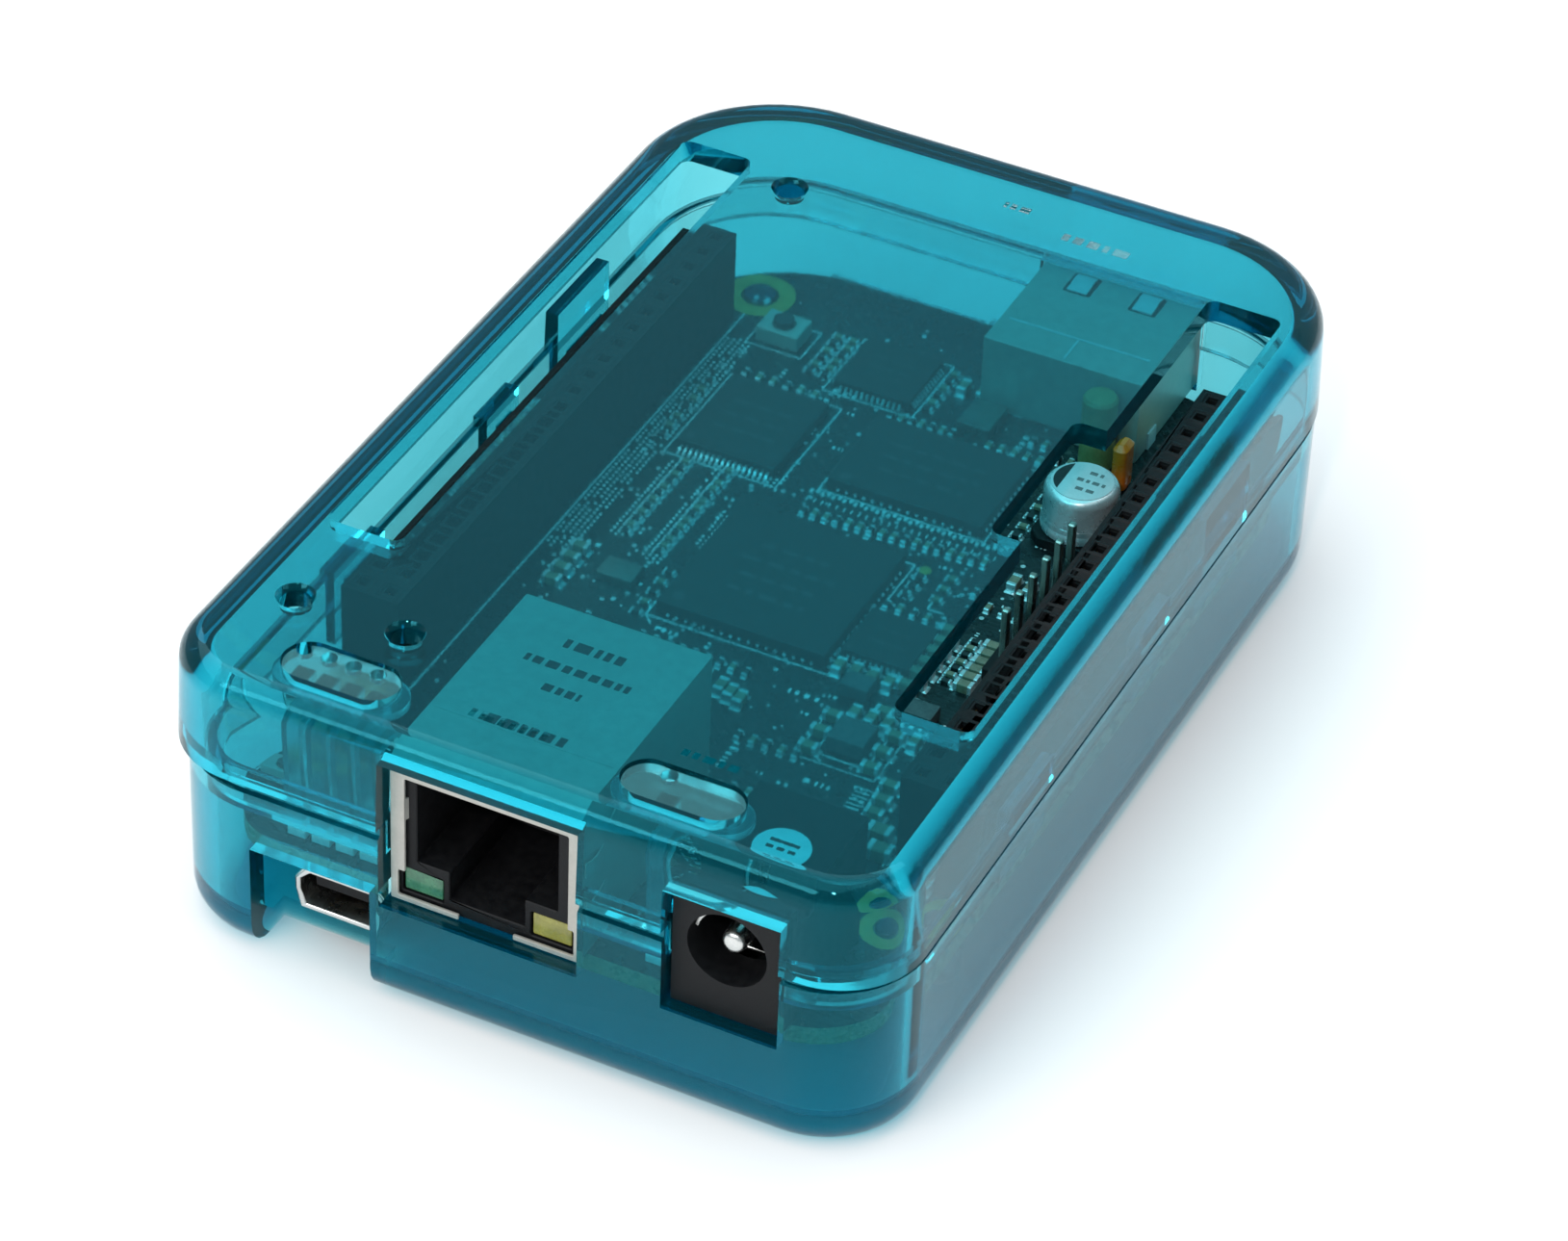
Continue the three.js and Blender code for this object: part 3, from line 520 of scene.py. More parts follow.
def header_sockets(side):
    """The middle of every socket of a header, with the height of its top."""
    low, high = corners_mm(f"{side}_header")
    middle = (low.x + high.x) / 2
    for row in range(HEADER_ROWS):
        y = low.y + HEADER_PITCH / 2 + row * HEADER_PITCH
        for x in (middle - HEADER_PITCH / 2, middle + HEADER_PITCH / 2):
            yield x, y, high.z


def header_contacts():
    """A pair of spring leaves in every socket of both headers."""
    work = Work()
    for side in ("left", "right"):
        for x, y, top in header_sockets(side):
            for way in (-1, 1):
                path = [(x + way * apart, y, top - down)
                        for apart, down in ((0.36, 4.6), (0.34, 2.4), (0.13, 1.3), (0.3, 0.5))]
                work.strip(path, (0, 1, 0), LEAF_W, LEAF_T)
    work.done("header_contacts", "base", "gold", GOLD)


def header_rims():
    """The raised lead-in frame round every socket."""
    levels = ((1.9, 0.1, 0.0), (1.72, 0.1, 0.07), (1.36, 0.06, 0.07), (0.86, 0.02, -0.3))
    for side in ("left", "right"):
        work = Work()
        for x, y, top in header_sockets(side):
            rings = [[(px, py, top + rise) for px, py in rounded(x, y, size, size, corner, 1)]
                     for size, corner, rise in levels]
            work.loft(rings, capped=False)
        work.done(f"{side}_header_rims", "base", "black_plastic", BLACK)


header_contacts()
header_rims()

# ---------------------------------------------------------------- small parts on the board

SMALL_CHIP = (0.5, 1.0, 0.35)
MIDDLE_CHIP = (0.85, 1.6, 0.8)
LARGE_CHIP = (1.25, 2.0, 1.1)
MOUNTING_HOLES = ((-24.13, 14.605), (24.13, 14.605), (-20.955, 80.645), (20.955, 80.645))


class Passives:
    """Surface-mount resistors and capacitors: a body, two metal ends and solder fillets."""

    def __init__(self):
        self.ends, self.tan, self.dark, self.pads = Work(), Work(), Work(), Work()

    def part(self, x, y, size, turn=0.0, dark=False):
        w, l, h = size
        centre = on_board(x, y)
        c, s = math.cos(turn), math.sin(turn)
        z0 = centre.z + 0.03
        body = self.dark if dark else self.tan
        body.block(centre.x, centre.y, z0, z0 + h * 0.97, w * 0.96, l * 0.72, 0.03, 0.04, turn)
        for way in (-1, 1):
            off = way * l * 0.39
            self.ends.block(centre.x - s * off, centre.y + c * off, z0, z0 + h,
                            w, l * 0.24, 0.05, 0.05, turn)
            off = way * l * 0.55
            self.pads.block(centre.x - s * off, centre.y + c * off, centre.z, centre.z + 0.05 + h * 0.12,
                            w * 1.15, l * 0.26, 0.06, 0.05 + h * 0.08, turn)

    def row(self, start, end, number, size, turn=0.0, dark_every=0):
        """A row of equal parts; every dark_every-th one is a resistor."""
        for i in range(number):
            t = i / max(number - 1, 1)
            x = start[0] + (end[0] - start[0]) * t
            y = start[1] + (end[1] - start[1]) * t
            jitter = rng.uniform(-0.03, 0.03)
            self.part(x + jitter, y - jitter, size, turn, bool(dark_every) and i % dark_every == 0)

    def done(self):
        self.tan.done("ceramic_capacitor_bodies", "base", "silicon", CERAMIC)
        self.dark.done("resistor_bodies", "base", "silicon", EPOXY)
        self.ends.done("passive_end_caps", "base", "tinned_steel", TIN)
        self.pads.done("solder_fillets", "base", "tinned_steel", TIN)


def passives():
    """The rows of small parts between the chips; points are given as on_board takes them."""
    p = Passives()
    p.row((-4.0, 54.6), (12.0, 55.4), 17, SMALL_CHIP, dark_every=3)
    p.row((-3.4, 70.0), (2.2, 70.2), 7, SMALL_CHIP, dark_every=2)
    p.row((5.6, 70.1), (10.2, 70.2), 5, SMALL_CHIP)
    p.row((-15.5, 45.2), (-15.5, 56.0), 12, SMALL_CHIP, QUARTER, 2)
    p.row((-11.8, 44.0), (-11.8, 56.6), 14, SMALL_CHIP, QUARTER, 3)
    p.row((-9.8, 42.0), (-9.8, 36.2), 5, SMALL_CHIP, QUARTER, 2)
    p.row((-8.0, 33.6), (1.4, 33.4), 9, SMALL_CHIP, 0, 2)
    p.row((0.6, 30.6), (2.6, 29.9), 3, MIDDLE_CHIP)
    p.row((4.4, 26.1), (9.4, 26.1), 5, SMALL_CHIP, 0, 2)
    p.row((-8.4, 27.0), (-8.4, 32.0), 5, SMALL_CHIP, QUARTER, 2)
    p.row((-3.6, 25.4), (0.6, 25.4), 5, SMALL_CHIP)
    p.row((9.9, 27.2), (9.9, 31.6), 3, MIDDLE_CHIP, QUARTER)
    p.row((15.3, 27.2), (15.3, 31.6), 3, MIDDLE_CHIP, QUARTER)
    p.row((11.3, 32.6), (14.2, 32.6), 3, MIDDLE_CHIP)
    p.row((17.6, 25.9), (17.9, 22.4), 3, MIDDLE_CHIP, QUARTER)
    p.row((19.3, 20.4), (20.3, 18.4), 2, LARGE_CHIP, QUARTER)
    p.row((6.0, 38.2), (6.0, 45.8), 8, SMALL_CHIP, QUARTER, 2)
    p.row((7.6, 37.4), (12.0, 37.4), 4, MIDDLE_CHIP)
    p.row((7.4, 46.6), (12.2, 46.6), 5, SMALL_CHIP, 0, 2)
    p.row((13.4, 39.6), (13.4, 45.6), 5, MIDDLE_CHIP, QUARTER)
    p.row((15.2, 41.2), (15.2, 46.9), 7, SMALL_CHIP, QUARTER, 2)
    p.row((16.9, 41.0), (16.9, 46.6), 6, MIDDLE_CHIP, QUARTER)
    p.row((13.3, 33.9), (13.3, 37.8), 2, MIDDLE_CHIP, QUARTER)
    p.row((18.6, 33.0), (18.6, 38.4), 4, SMALL_CHIP, QUARTER, 2)
    p.row((17.0, 31.6), (19.6, 28.4), 3, MIDDLE_CHIP)
    p.row((8.2, 48.5), (8.2, 51.2), 3, SMALL_CHIP, QUARTER, 1)
    p.row((10.6, 49.2), (10.6, 52.2), 3, SMALL_CHIP, QUARTER)
    p.row((-19.0, 58.4), (-19.0, 67.2), 7, SMALL_CHIP, QUARTER, 3)
    p.row((-16.8, 69.6), (-9.0, 69.6), 7, SMALL_CHIP, 0, 3)
    p.row((-12.2, 72.6), (-12.2, 78.2), 6, SMALL_CHIP, QUARTER, 2)
    p.row((-10.8, 72.6), (-10.8, 78.2), 6, SMALL_CHIP, QUARTER, 3)
    p.row((-1.2, 72.4), (-1.2, 78.0), 6, SMALL_CHIP, QUARTER, 2)
    p.row((0.4, 76.4), (5.8, 76.4), 4, MIDDLE_CHIP)
    p.row((12.2, 58.4), (12.2, 68.6), 8, SMALL_CHIP, QUARTER, 2)
    p.row((14.2, 68.6), (20.0, 68.8), 5, MIDDLE_CHIP)
    p.row((19.4, 54.4), (14.8, 55.2), 4, MIDDLE_CHIP)
    p.row((13.0, 51.4), (16.8, 51.4), 4, SMALL_CHIP, 0, 2)
    p.row((8.6, 72.4), (12.0, 72.6), 4, SMALL_CHIP, 0, 2)
    p.row((18.2, 73.0), (20.4, 73.0), 3, SMALL_CHIP, 0, 2)
    p.row((-17.6, 36.4), (-17.6, 41.2), 4, MIDDLE_CHIP, QUARTER)
    p.row((-16.6, 30.2), (-10.4, 30.2), 5, MIDDLE_CHIP)
    p.row((-16.6, 26.4), (-11.0, 26.4), 5, SMALL_CHIP, 0, 2)
    p.row((-18.2, 20.6), (-12.0, 20.6), 5, SMALL_CHIP, 0, 2)
    p.row((-20.4, 5.4), (-13.2, 5.4), 4, SMALL_CHIP, 0, 1)
    p.row((6.8, 20.2), (12.2, 20.2), 5, SMALL_CHIP, 0, 2)
    p.row((7.4, 4.2), (7.4, 15.6), 8, SMALL_CHIP, QUARTER, 2)
    p.done()


passives()


def leads(work, x, y, w, l, pitch, count_x, count_y, out):
    """Gull-wing leads on a package's sides, reaching out from its edges."""
    bends = ((-0.1, 0.35), (out * 0.35, 0.35), (out * 0.55, 0.1), (out, 0.07))
    for sign in (-1, 1):
        for axis, count, half in ((0, count_x, l / 2), (1, count_y, w / 2)):
            across = (1 - axis, axis, 0)
            for i in range(count):
                path = []
                for reach, height in bends:
                    point = [x, y, BOARD_TOP + height]
                    point[axis] += (i - (count - 1) / 2) * pitch
                    point[1 - axis] += sign * (half + reach)
                    path.append(point)
                work.strip(path, across, pitch * 0.45, 0.18)


def chip_leads():
    work = Work()
    for node, count_x, count_y, out in (("storage_chip", 17, 0, 0.9), ("network_chip", 8, 8, 0.28),
                                        ("video_chip", 12, 12, 0.4), ("power_manager_chip", 10, 10, 0.28)):
        low, high = corners_mm(node)
        x, y, _ = (low + high) / 2
        leads(work, x, y, high.x - low.x, high.y - low.y, 0.5, count_x, count_y, out)
    work.done("chip_leads", "base", "tinned_steel", TIN)


def solder_balls():
    """The rows of solder balls seen under the edges of the ball-grid chips."""
    work = Work()
    pitch = 0.8
    ball = [(r, BOARD_TOP + rise) for r, rise in ((0.1, 0.0), (0.17, 0.08), (0.17, 0.16), (0.1, 0.24))]
    for node in ("processor", "memory_chip"):
        low, high = corners_mm(node)
        for axis in (0, 1):
            count = int((high[axis] - low[axis] - 0.8) / pitch)
            start = (low[axis] + high[axis]) / 2 - pitch * (count - 1) / 2
            for i in range(count):
                for side in (low[1 - axis] - 0.02, high[1 - axis] + 0.02):
                    p = [0, 0]
                    p[axis], p[1 - axis] = start + i * pitch, side
                    work.lathe(p[0], p[1], ball, 8)
    work.done("solder_balls", "base", "tinned_steel", TIN)


def dashes(work, x, y, z, length, height, rows, turn=0.0, thick=0.02, tall=0.16, fill=0.78):
    """Rows of short plain bars of uneven length, where the real surface carries a printed marking."""
    c, s = math.cos(turn), math.sin(turn)
    for r in range(rows):
        v = (r - (rows - 1) / 2) * height / rows
        span = length * rng.uniform(0.72, 1.0)
        u = -span / 2
        while u < span / 2 - 0.3:
            part = min(rng.uniform(0.35, 1.1) * height / rows, span / 2 - u)
            mx = u + part / 2
            work.block(x + mx * c - v * s, y + mx * s + v * c, z, z + thick,
                       part * fill, tall, 0.03, 0.005, turn)
            u += part + 0.14 * height / rows


def chip_marks():
    """Faint rows of bars and a corner dot on each chip."""
    work = Work()
    for node, rows, share in (("processor", 4, 0.62), ("memory_chip", 3, 0.7),
                              ("storage_chip", 3, 0.66), ("power_manager_chip", 2, 0.6),
                              ("network_chip", 2, 0.55), ("video_chip", 3, 0.6)):
        low, high = corners_mm(node)
        x, y, _ = (low + high) / 2
        wide, deep = high.x - low.x, high.y - low.y
        dashes(work, x, y, high.z, wide * share, deep * 0.55, rows, tall=0.035 * deep)
        dot = 0.035 * wide
        work.lathe(low.x + 0.09 * wide, low.y + 0.09 * deep, [(dot, high.z), (dot, high.z + 0.01)], 16)
    work.done("chip_markings", "base", "silicon", FAINT)


chip_leads()
solder_balls()
chip_marks()


def bar(work, x0, y0, x1, y1, width=0.14, z=0.0, thick=0.025):
    """A printed line on the board from one point to another."""
    a, b = on_board(x0, y0, z), on_board(x1, y1, z)
    length = (b - a).length
    middle = (a + b) / 2
    work.block(middle.x, middle.y, a.z, a.z + thick, length + width, width, width / 2.2, 0.006,
               math.atan2(b.y - a.y, b.x - a.x))


def frame_marks(work, x, y, w, l, width=0.14):
    for x0, y0, x1, y1 in ((-1, -1, 1, -1), (1, -1, 1, 1), (1, 1, -1, 1), (-1, 1, -1, -1)):
        bar(work, x + x0 * w / 2, y + y0 * l / 2, x + x1 * w / 2, y + y1 * l / 2, width)


def silkscreen():
    """Printed outlines, ticks and short plain dashes beside the parts."""
    work = Work()
    frame_marks(work, -1.0, 44.5, 16.2, 16.2)
    bar(work, -9.1, 36.4, -8.2, 35.5)
    frame_marks(work, 3.2, 63.6, 15.0, 11.0)
    frame_marks(work, -12.7, 62.8, 10.4, 12.6)
    bar(work, -20.9, 17.6, -20.9, 77.6, 0.16)
    bar(work, 20.9, 17.6, 20.9, 40.4, 0.16)
    bar(work, 20.9, 57.8, 20.9, 77.6, 0.16)
    for i in range(26):
        bar(work, -4.6 + i * 0.68, 56.3, -4.6 + i * 0.68, 56.75, 0.12)
    for i in range(20):
        bar(work, -3.6 + i * 0.7, 69.15, -3.6 + i * 0.7, 69.4, 0.1)
    for i in range(10):
        bar(work, 15.2, 20.6 + i * 0.5, 16.4, 20.6 + i * 0.5, 0.12)
    frame_marks(work, 12.6, 29.4, 4.4, 4.2)
    frame_marks(work, 12.6, 29.4, 6.8, 6.2, 0.1)
    bar(work, 10.4, 47.9, 10.4, 49.6)
    bar(work, 10.4, 47.9, 11.8, 47.9)
    frame_marks(work, 9.9, 42, 7.4, 7.4, 0.12)
    frame_marks(work, -6, 75, 8.4, 8.4, 0.12)
    frame_marks(work, -4.2, 29.5, 6.2, 6.2, 0.12)
    for x, y in ((-24.5, 8), (-15, 8), (-16.4, 76)):
        frame_marks(work, x, y, 5.2, 4.2, 0.12)
    for x, y, length in ((-18.2, 11.6, 4.4), (-13.2, 33.4, 3.2), (4.6, 23.8, 4.2), (12.2, 23.9, 3.0),
                         (18.4, 16.6, 3.2), (6.6, 33.2, 3.4), (-6.4, 35.2, 3.0), (2.0, 53.3, 4.6),
                         (-16.9, 42.6, 2.4), (16.4, 50.2, 2.6), (-8.2, 71.2, 3.0), (7.8, 72.0, 3.4),
                         (-20.0, 80.0, 3.6), (9.4, 8.4, 3.0), (15.4, 33.8, 2.6), (9.6, 18.2, 2.8),
                         (-13.0, 22.6, 3.6), (-15.0, 15.0, 4.0), (19.0, 43.0, 1.8), (-19.4, 56.6, 2.2)):
        turn = rng.choice((0, 0, QUARTER))
        dashes(work, *on_board(x, y), length, 0.9, 1, turn, 0.025, 0.5, 0.5)
    for _ in range(90):
        x, y = rng.uniform(-19.2, 19.2), rng.uniform(20, 79)
        length, turn = rng.uniform(0.9, 1.7), rng.choice((0, QUARTER))
        dashes(work, *on_board(x, y), length, 0.55, 1, turn, 0.02, 0.32, 0.5)
    dotted_columns = ((-20.5, 41.0, 74.0, 5), (-16.6, 44.6, 55.8, 4), (-12.9, 43.0, 57.2, 4),
                      (-9.7, 46.0, 51.6, 2), (-8.4, 56.4, 58.6, 3))
    for x0, y0, y1, count in dotted_columns:
        for line in range(count):
            y = y0 + rng.uniform(-0.3, 0.3)
            while y < y1:
                if rng.random() < 0.86:
                    centre = on_board(x0 + line * 0.52, y)
                    work.block(centre.x, centre.y, centre.z, centre.z + 0.035, 0.27, 0.28, 0.08, 0.01)
                y += 0.54
    for i in range(34):
        centre = on_board(-4.7 + i * 0.5, 57.6 + (i % 2) * 0.22)
        work.block(centre.x, centre.y, centre.z, centre.z + 0.035, 0.3, 0.5, 0.08, 0.01)
    work.done("board_markings", "base", "board", SILK)


def pads():
    """Exposed test pads, and the plated rings round the mounting holes."""
    work = Work()
    for _ in range(420):
        x, y, z = on_board(rng.uniform(-20.2, 20.2), rng.uniform(19, 83))
        r = rng.choice((0.13, 0.16, 0.22))
        work.lathe(x, y, [(r, z), (r, z + 0.02), (r * 0.55, z + 0.025), (r * 0.5, z + 0.01)], 8)
    work.done("board_pads", "base", "tinned_steel", TIN)
    work = Work()
    for hole in MOUNTING_HOLES:
        x, y, z = on_board(*hole)
        work.ring(x, y, z, z + 0.05, 1.65, 3.1)
        work.ring(x, y, z - 1.66, z - 1.6, 1.65, 3.1)
    x, y, z = on_board(8.1, 52.4)
    work.lathe(x, y, [(0.5, z), (0.5, z + 0.03), (0.46, z + 0.04)], 24)
    work.done("mounting_hole_rings", "base", "gold", RING)


silkscreen()
pads()

# ---------------------------------------------------------------- sockets and the parts beside them


def printed(name, material, slot, rows):
    """Plain printed bars: each row is x, y, z in the part's frame, length, height and bar height."""
    work = Work()
    for x, y, z, length, height, tall in rows:
        dashes(work, x, y, z, length, height, 1, 0.0, 0.02, tall, 0.8)
    work.done(name, "base", slot, material)


def network_socket():
    """The shield's markings and grounding springs, the eight contacts and the ledges over the lamps."""
    low, high = corners_mm("ethernet_shield")
    middle, front = (low.x + high.x) / 2, low.y
    rows = ((15.0, 5.2, 1.5), (12.2, 10.0, 1.2), (9.6, 3.4, 1.2), (4.4, 8.8, 1.5))
    printed("shield_markings", INK, "black_plastic",
            [(middle, BOARD_FRONT + y, high.z, length, h, h * 0.7) for y, length, h in rows])
    springs = Work()
    for side, x in ((-1, low.x), (1, high.x)):
        for z in (BOARD_TOP + 8.8, BOARD_TOP + 4.6):
            path = [(x + side * out, front + deep, z)
                    for out, deep in ((0.0, 5.2), (0.34, 3.4), (0.42, 2.4), (0.2, 1.5))]
            springs.strip(path, (0, 0, 1), 1.5, 0.12)
    inner, level = low.x + 1.15, BOARD_TOP + 8.9
    path = [(inner + out, front + deep, level) for out, deep in ((0.0, 0.05), (0.5, 1.3), (0.35, 3.2))]
    springs.strip(path, (0, 0, 1), 2.0, 0.14)
    seam_y, seam_z = front + 6.0, BOARD_TOP + 13.41
    springs.strip([(middle - 7.6, seam_y, seam_z), (middle + 7.6, seam_y, seam_z)], (0, 1, 0), 0.16, 0.03)
    springs.done("shield_springs", "base", "tinned_steel", STEEL)
    contacts = Work()
    for i in range(8):
        x = middle + (i - 3.5) * 1.02
        path = [(x, front + deep, BOARD_TOP + rise) for deep, rise in ((12.6, 7.4), (6.0, 9.9), (2.4, 11.3))]
        contacts.strip(path, (1, 0, 0), 0.42, 0.18)
    contacts.done("network_contacts", "base", "gold", GOLD)
    ledges = Work()
    for side in ("left", "right"):
        lamp_low, lamp_high = corners_mm(f"ethernet_{side}_lamp")
        x, top = (lamp_low.x + lamp_high.x) / 2, lamp_high.z
        ledges.block(x, lamp_low.y + 1.2, top + 0.12, top + 0.34, 3.1, 2.2, 0.1, 0.05)
    ledges.done("lamp_ledges", "base", "black_plastic", FERRITE)


def power_socket():
    """The jack's sleeve springs, and the disc label on its top with a direct-current sign."""
    low, high = corners_mm("power_jack_housing")
    middle, front = (low.x + high.x) / 2, low.y
    axis = BOARD_TOP + 6.5
    outer_r, inner_r = 3.12, 2.9
    sleeve = Work()
    for start, end in ((100, 168), (12, 48)):
        angles = [math.radians(start + (end - start) * k / 8) for k in range(9)]
        section = [(middle + outer_r * math.cos(a), axis + outer_r * math.sin(a)) for a in angles]
        section += [(middle + inner_r * math.cos(a), axis + inner_r * math.sin(a)) for a in angles[::-1]]
        sleeve.loft([[(x, front + deep, z) for x, z in section] for deep in (0.9, 6.5)])
    for z in (BOARD_TOP + 3.0, BOARD_TOP + 7.0):
        path = [(low.x - out, front + deep, z + rise)
                for out, deep, rise in ((0.35, 3.4, 0.0), (0.2, 1.4, 0.2), (0.4, 0.7, 0.0))]
        sleeve.strip(path, (0, 0, 1), 1.5, 0.2)
    sleeve.done("jack_sleeve_contact", "base", "nickel", NICKEL)
    x, y, z = on_board(18.0, 5.5, 9.6)
    sticker = Work()
    sticker.lathe(x, y, [(2.25, z), (2.25, z + 0.05), (2.2, z + 0.07)], 40)
    sticker.done("jack_sticker", "base", "black_plastic", LABEL)
    sign = Work()
    low_face, high_face = z + 0.07, z + 0.09
    sign.block(x, y + 0.6, low_face, high_face, 2.4, 0.36, 0.05, 0.005)
    for aside in (-0.9, 0.0, 0.9):
        sign.block(x + aside, y - 0.2, low_face, high_face, 0.6, 0.36, 0.05, 0.005)
    sign.done("jack_sticker_sign", "base", "black_plastic", INK)


def host_socket():
    """The host shell's rolled lip, its two sprung windows with a thin sheet of painted shade under each tab,
    the seams in its top and its side springs.
    """
    low, high = corners_mm("usb_host_shell")
    middle, top = (low.x + high.x) / 2, high.z
    work = Work()
    dark = Work()
    work.block(middle, high.y - 0.9, top, top + 0.14, high.x - low.x - 0.6, 1.5, 0.1, 0.05)
    for x in (middle - 3.0, middle + 3.0):
        y = high.y - 3.2
        # A thin black sheet in each window opening: painted shade standing in for the dark hollow under the
        # tab.
        dark.block(x, y, top, top + 0.03, 2.5, 2.9, 0.15, 0.01)
        path = [(x, y + along, top + rise)
                for along, rise in ((-1.3, 0.08), (-0.4, 0.12), (0.5, 0.24), (1.2, 0.1))]
        work.strip(path, (1, 0, 0), 1.8, 0.12)
    seam_y, seam_z = high.y - 10.6, top + 0.02
    work.strip([(middle - 6.4, seam_y, seam_z), (middle + 6.4, seam_y, seam_z)], (0, 1, 0), 0.2, 0.06)
    work.strip([(middle, seam_y, seam_z), (middle, low.y + 0.3, seam_z)], (1, 0, 0), 0.2, 0.06)
    for side in (-1, 1):
        x, y = middle + side * (high.x - low.x) / 2, low.y + 3.2
        work.strip([(x + side * 0.05, y, BOARD_TOP + 1.6), (x + side * 0.08, y, BOARD_TOP - 1.2)],
                   (0, 1, 0), 1.6, 0.2)
    work.done("host_shell_springs", "base", "nickel", CAN_TOP)
    dark.done("host_shell_window_painted_shade", "base", "black_plastic", INK)


def device_socket():
    """The small socket's contacts on both faces of its tongue, and the rolled lip of its shell."""
    low, high = corners_mm("mini_usb_shell")
    tongue_low, tongue_high = corners_mm("mini_usb_tongue")
    work = Work()
    middle, front = (tongue_low.x + tongue_high.x) / 2, tongue_low.y
    for i in range(5):
        x = middle + (i - 2) * 0.8
        for z, deep, thick in ((tongue_low.z - 0.03, 0.2, 0.08), (tongue_high.z + 0.03, 0.3, 0.06)):
            work.strip([(x, front + 6.0, z), (x, front + deep, z)], (1, 0, 0), 0.36, thick)
    work.done("device_contacts", "base", "gold", GOLD)
    wide, middle = (high.x - low.x) / 2, (high.x + low.x) / 2

    def outline(grow):
        half = wide + grow
        right = [(half - 0.5, low.z - grow), (half, high.z - 2.2), (half, high.z - 1.2),
                 (half - 0.9, high.z + grow)]
        return [(middle - x, z) for x, z in right[::-1]] + [(middle + x, z) for x, z in right]

    lip = Work()
    levels = ((0.0, 0.9), (0.14, 0.75), (0.16, 0.3), (0.08, 0.08), (-0.2, 0.02), (-0.36, 0.1), (-0.4, 0.6))
    lip.loft([[(x, low.y + deep, z) for x, z in outline(grow)] for grow, deep in levels], capped=False)
    lip.done("device_socket_lip", "base", "nickel", NICKEL)


def tall_parts():
    """The large capacitor's printed top and rolled foot, and the two upright parts beside it."""
    low, high = corners_mm("capacitor_can")
    x, y, r = (low.x + high.x) / 2, (low.y + high.y) / 2, (high.x - low.x) / 2
    foot, level = low.z, high.z + 0.05
    top = Work()
    top.lathe(x, y, [(r - 0.55, high.z - 0.02), (r - 0.55, high.z + 0.03), (r - 0.62, level)], 48)
    top.done("capacitor_top", "base", "aluminium", CAN_TOP)
    roll = Work()
    for profile in (((0.01, 0.9), (0.11, 0.7), (0.14, 0.45), (0.1, 0.15), (-0.05, 0.02)),
                    ((0.01, 1.9), (-0.16, 1.65), (0.01, 1.4))):
        roll.lathe(x, y, [(r + out, foot + rise) for out, rise in profile], 48, capped=False)
    roll.done("capacitor_rolled_foot", "base", "aluminium", ALUMINIUM)
    marks = Work()
    angles = [math.radians(128 + 104 * k / 14) for k in range(15)]
    arc = [(x + (r - 0.75) * math.cos(a), y + (r - 0.75) * math.sin(a)) for a in angles]
    marks.loft([[(px, py, z) for px, py in arc] for z in (level, level + 0.02)])
    marks.done("capacitor_sector", "base", "board", INK)
    printed("capacitor_markings", GREY_INK, "aluminium",
            [(x + 0.7, y + aside, level, length, 0.9, 0.42)
             for aside, length in ((1.3, 1.8), (0.1, 2.6), (-1.1, 2.0))])
    amber = Work()
    x, y, z = on_board(16.9, 71.9)
    amber.block(x, y, z + 0.1, z + 4.6, 1.3, 2.2, 0.5, 0.45, 0.0, 4, 0.2)
    amber.done("amber_part", "base", "yellow_lamp", AMBER)
    olive = Work()
    x, y, z = on_board(13.9, 73.5)
    olive.lathe(x, y, [(1.2, z + 0.1), (1.5, z + 0.4), (1.5, z + 5.8), (1.3, z + 6.1), (0.9, z + 6.2)], 32)
    olive.done("olive_part", "base", "silicon", OLIVE)


def cover_marks():
    """Plain raised bars on the cover where the real one carries moulded captions."""
    work = Work()
    for x, y, length, height, turn in ((-3.0, 2.2, 9.0, 1.5, 0.0), (12.0, 5.6, 5.0, 1.2, 0.0),
                                       (9.6, 80.6, 7.0, 1.6, math.pi), (1.6, 82.6, 3.2, 1.3, math.pi)):
        spot = on_board(x, y)
        dashes(work, spot.x, spot.y, COVER_TOP - 0.03, length, height, 1, turn, 0.03, height * 0.62, 0.8)
    work.done("cover_captions", "cover", "shell", SHELL)


network_socket()
power_socket()
host_socket()
device_socket()
tall_parts()
cover_marks()

# ---------------------------------------------------------------- floor, lights and camera


def floor_material():
    s = Shader("floor_white", 0.7)
    s.feed(Base_Color=s.ramp(s.noise(40, 4), (0.3, (0.93, 0.93, 0.93)), (0.7, (0.955, 0.955, 0.955))),
           Normal=s.bump(s.noise(1.0), 0.01))
    return s.material


def make_floor():
    """A floor that bends up into a backdrop."""
    bm = bmesh.new()
    reach, bend, high = 3.0, 0.6, 2.2
    rows = [(-reach, 0.0), (reach - bend, 0.0)]
    rows += [(reach - bend + bend * math.sin(a), bend - bend * math.cos(a))
             for a in [math.radians(9 * i) for i in range(1, 11)]]
    rows += [(reach, high)]
    verts = [[bm.verts.new((x, y, z)) for x in (-reach, reach)] for y, z in rows]
    for a, b in zip(verts, verts[1:]):
        bm.faces.new((a[0], a[1], b[1], b[0]))
    mesh = bpy.data.meshes.new("floor")
    bm.to_mesh(mesh)
    bm.free()
    mesh.materials.append(floor_material())
    obj = bpy.data.objects.new("floor", mesh)
    bpy.context.scene.collection.objects.link(obj)
    for p in mesh.polygons:
        p.use_smooth = True


make_floor()

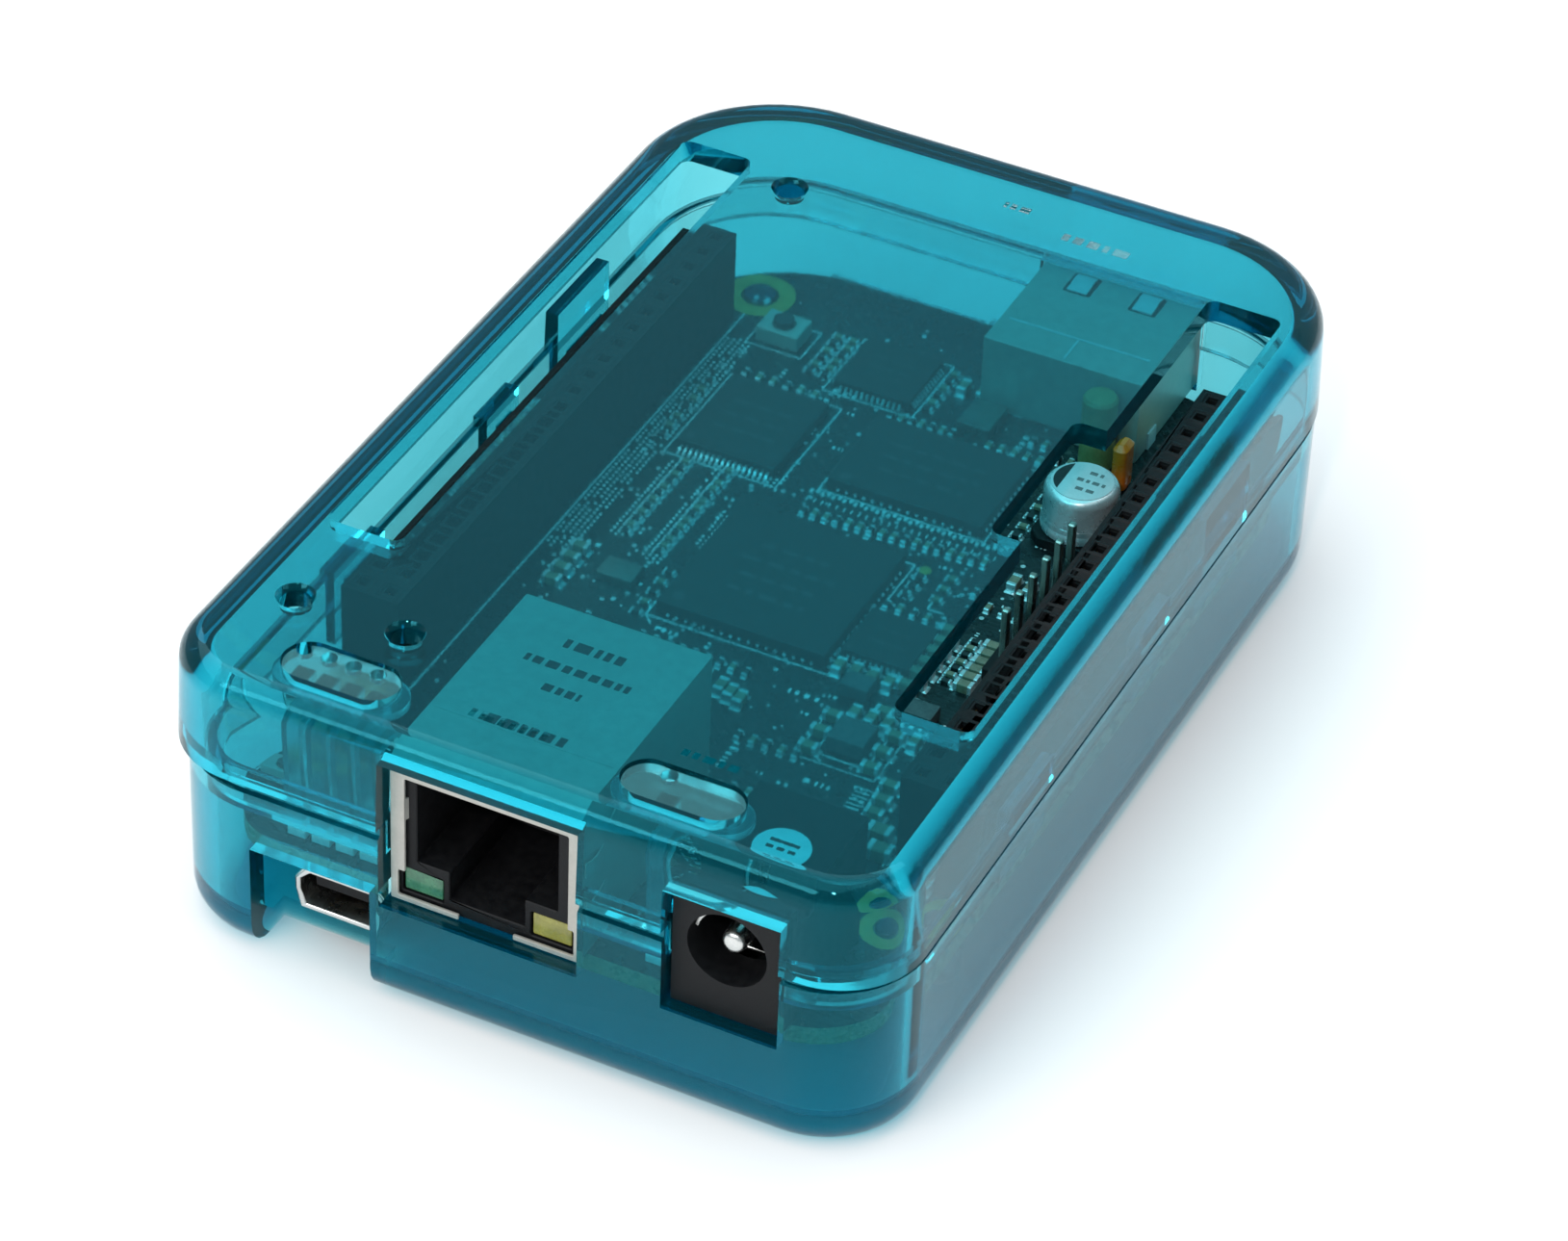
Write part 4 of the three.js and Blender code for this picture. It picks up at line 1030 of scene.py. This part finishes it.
LENS = 130.2
AZIMUTH, ELEVATION, ROLL = (math.radians(a) for a in (24.787, 38.046, 2.534))
ASIDE = Vector((0.024, -0.561)) * MM
DISTANCE = 455.8 * MM
TARGET = Vector((0, -0.057, 9.355)) * MM

back = Vector((math.sin(AZIMUTH) * math.cos(ELEVATION),
               -math.cos(AZIMUTH) * math.cos(ELEVATION),
               math.sin(ELEVATION)))
level = Vector((0, 0, 1)).cross(back).normalized()
above = back.cross(level)
right = level * math.cos(ROLL) + above * math.sin(ROLL)
up = above * math.cos(ROLL) - level * math.sin(ROLL)
camera = bpy.data.objects.new("camera", bpy.data.cameras.new("camera"))
bpy.context.scene.collection.objects.link(camera)
camera.data.lens = LENS
camera.data.sensor_width = 36
camera.data.clip_start, camera.data.clip_end = 0.01, 20
camera.matrix_world = Matrix((right, up, back)).transposed().to_4x4()
camera.location = TARGET + right * ASIDE.x + up * ASIDE.y + back * DISTANCE
bpy.context.scene.camera = camera


def softbox(name, place, power, size, aim=(0, 0, 0.01)):
    light = bpy.data.lights.new(name, "AREA")
    light.shape = "RECTANGLE"
    light.size, light.size_y = size
    light.energy = power
    obj = bpy.data.objects.new(name, light)
    bpy.context.scene.collection.objects.link(obj)
    obj.location = place
    obj.rotation_mode = "QUATERNION"
    obj.rotation_quaternion = (Vector(aim) - Vector(place)).to_track_quat("-Z", "Y")


softbox("key", (-0.4, 0.0, 1.5), 27, (2.6, 2.2))
softbox("fill", (1.3, -0.1, 1.1), 4, (0.9, 0.7))
softbox("front", (-0.5, -1.3, 1.0), 8, (0.8, 0.5))
softbox("near", (0.16, -0.62, 0.62), 1.2, (0.04, 0.04))

world = bpy.data.worlds.new("studio")
bpy.context.scene.world = world
world.use_nodes = True
sky = world.node_tree.nodes["Background"]
sky.inputs["Color"].default_value = (0.84, 0.95, 1.0, 1)
sky.inputs["Strength"].default_value = 0.5

scene = bpy.context.scene
scene.view_settings.view_transform = "Standard"
scene.cycles.max_bounces = 16
scene.cycles.transmission_bounces = 14
scene.cycles.transparent_max_bounces = 24
scene.cycles.caustics_refractive = False
scene.cycles.caustics_reflective = False

bpy.context.view_layer.update()
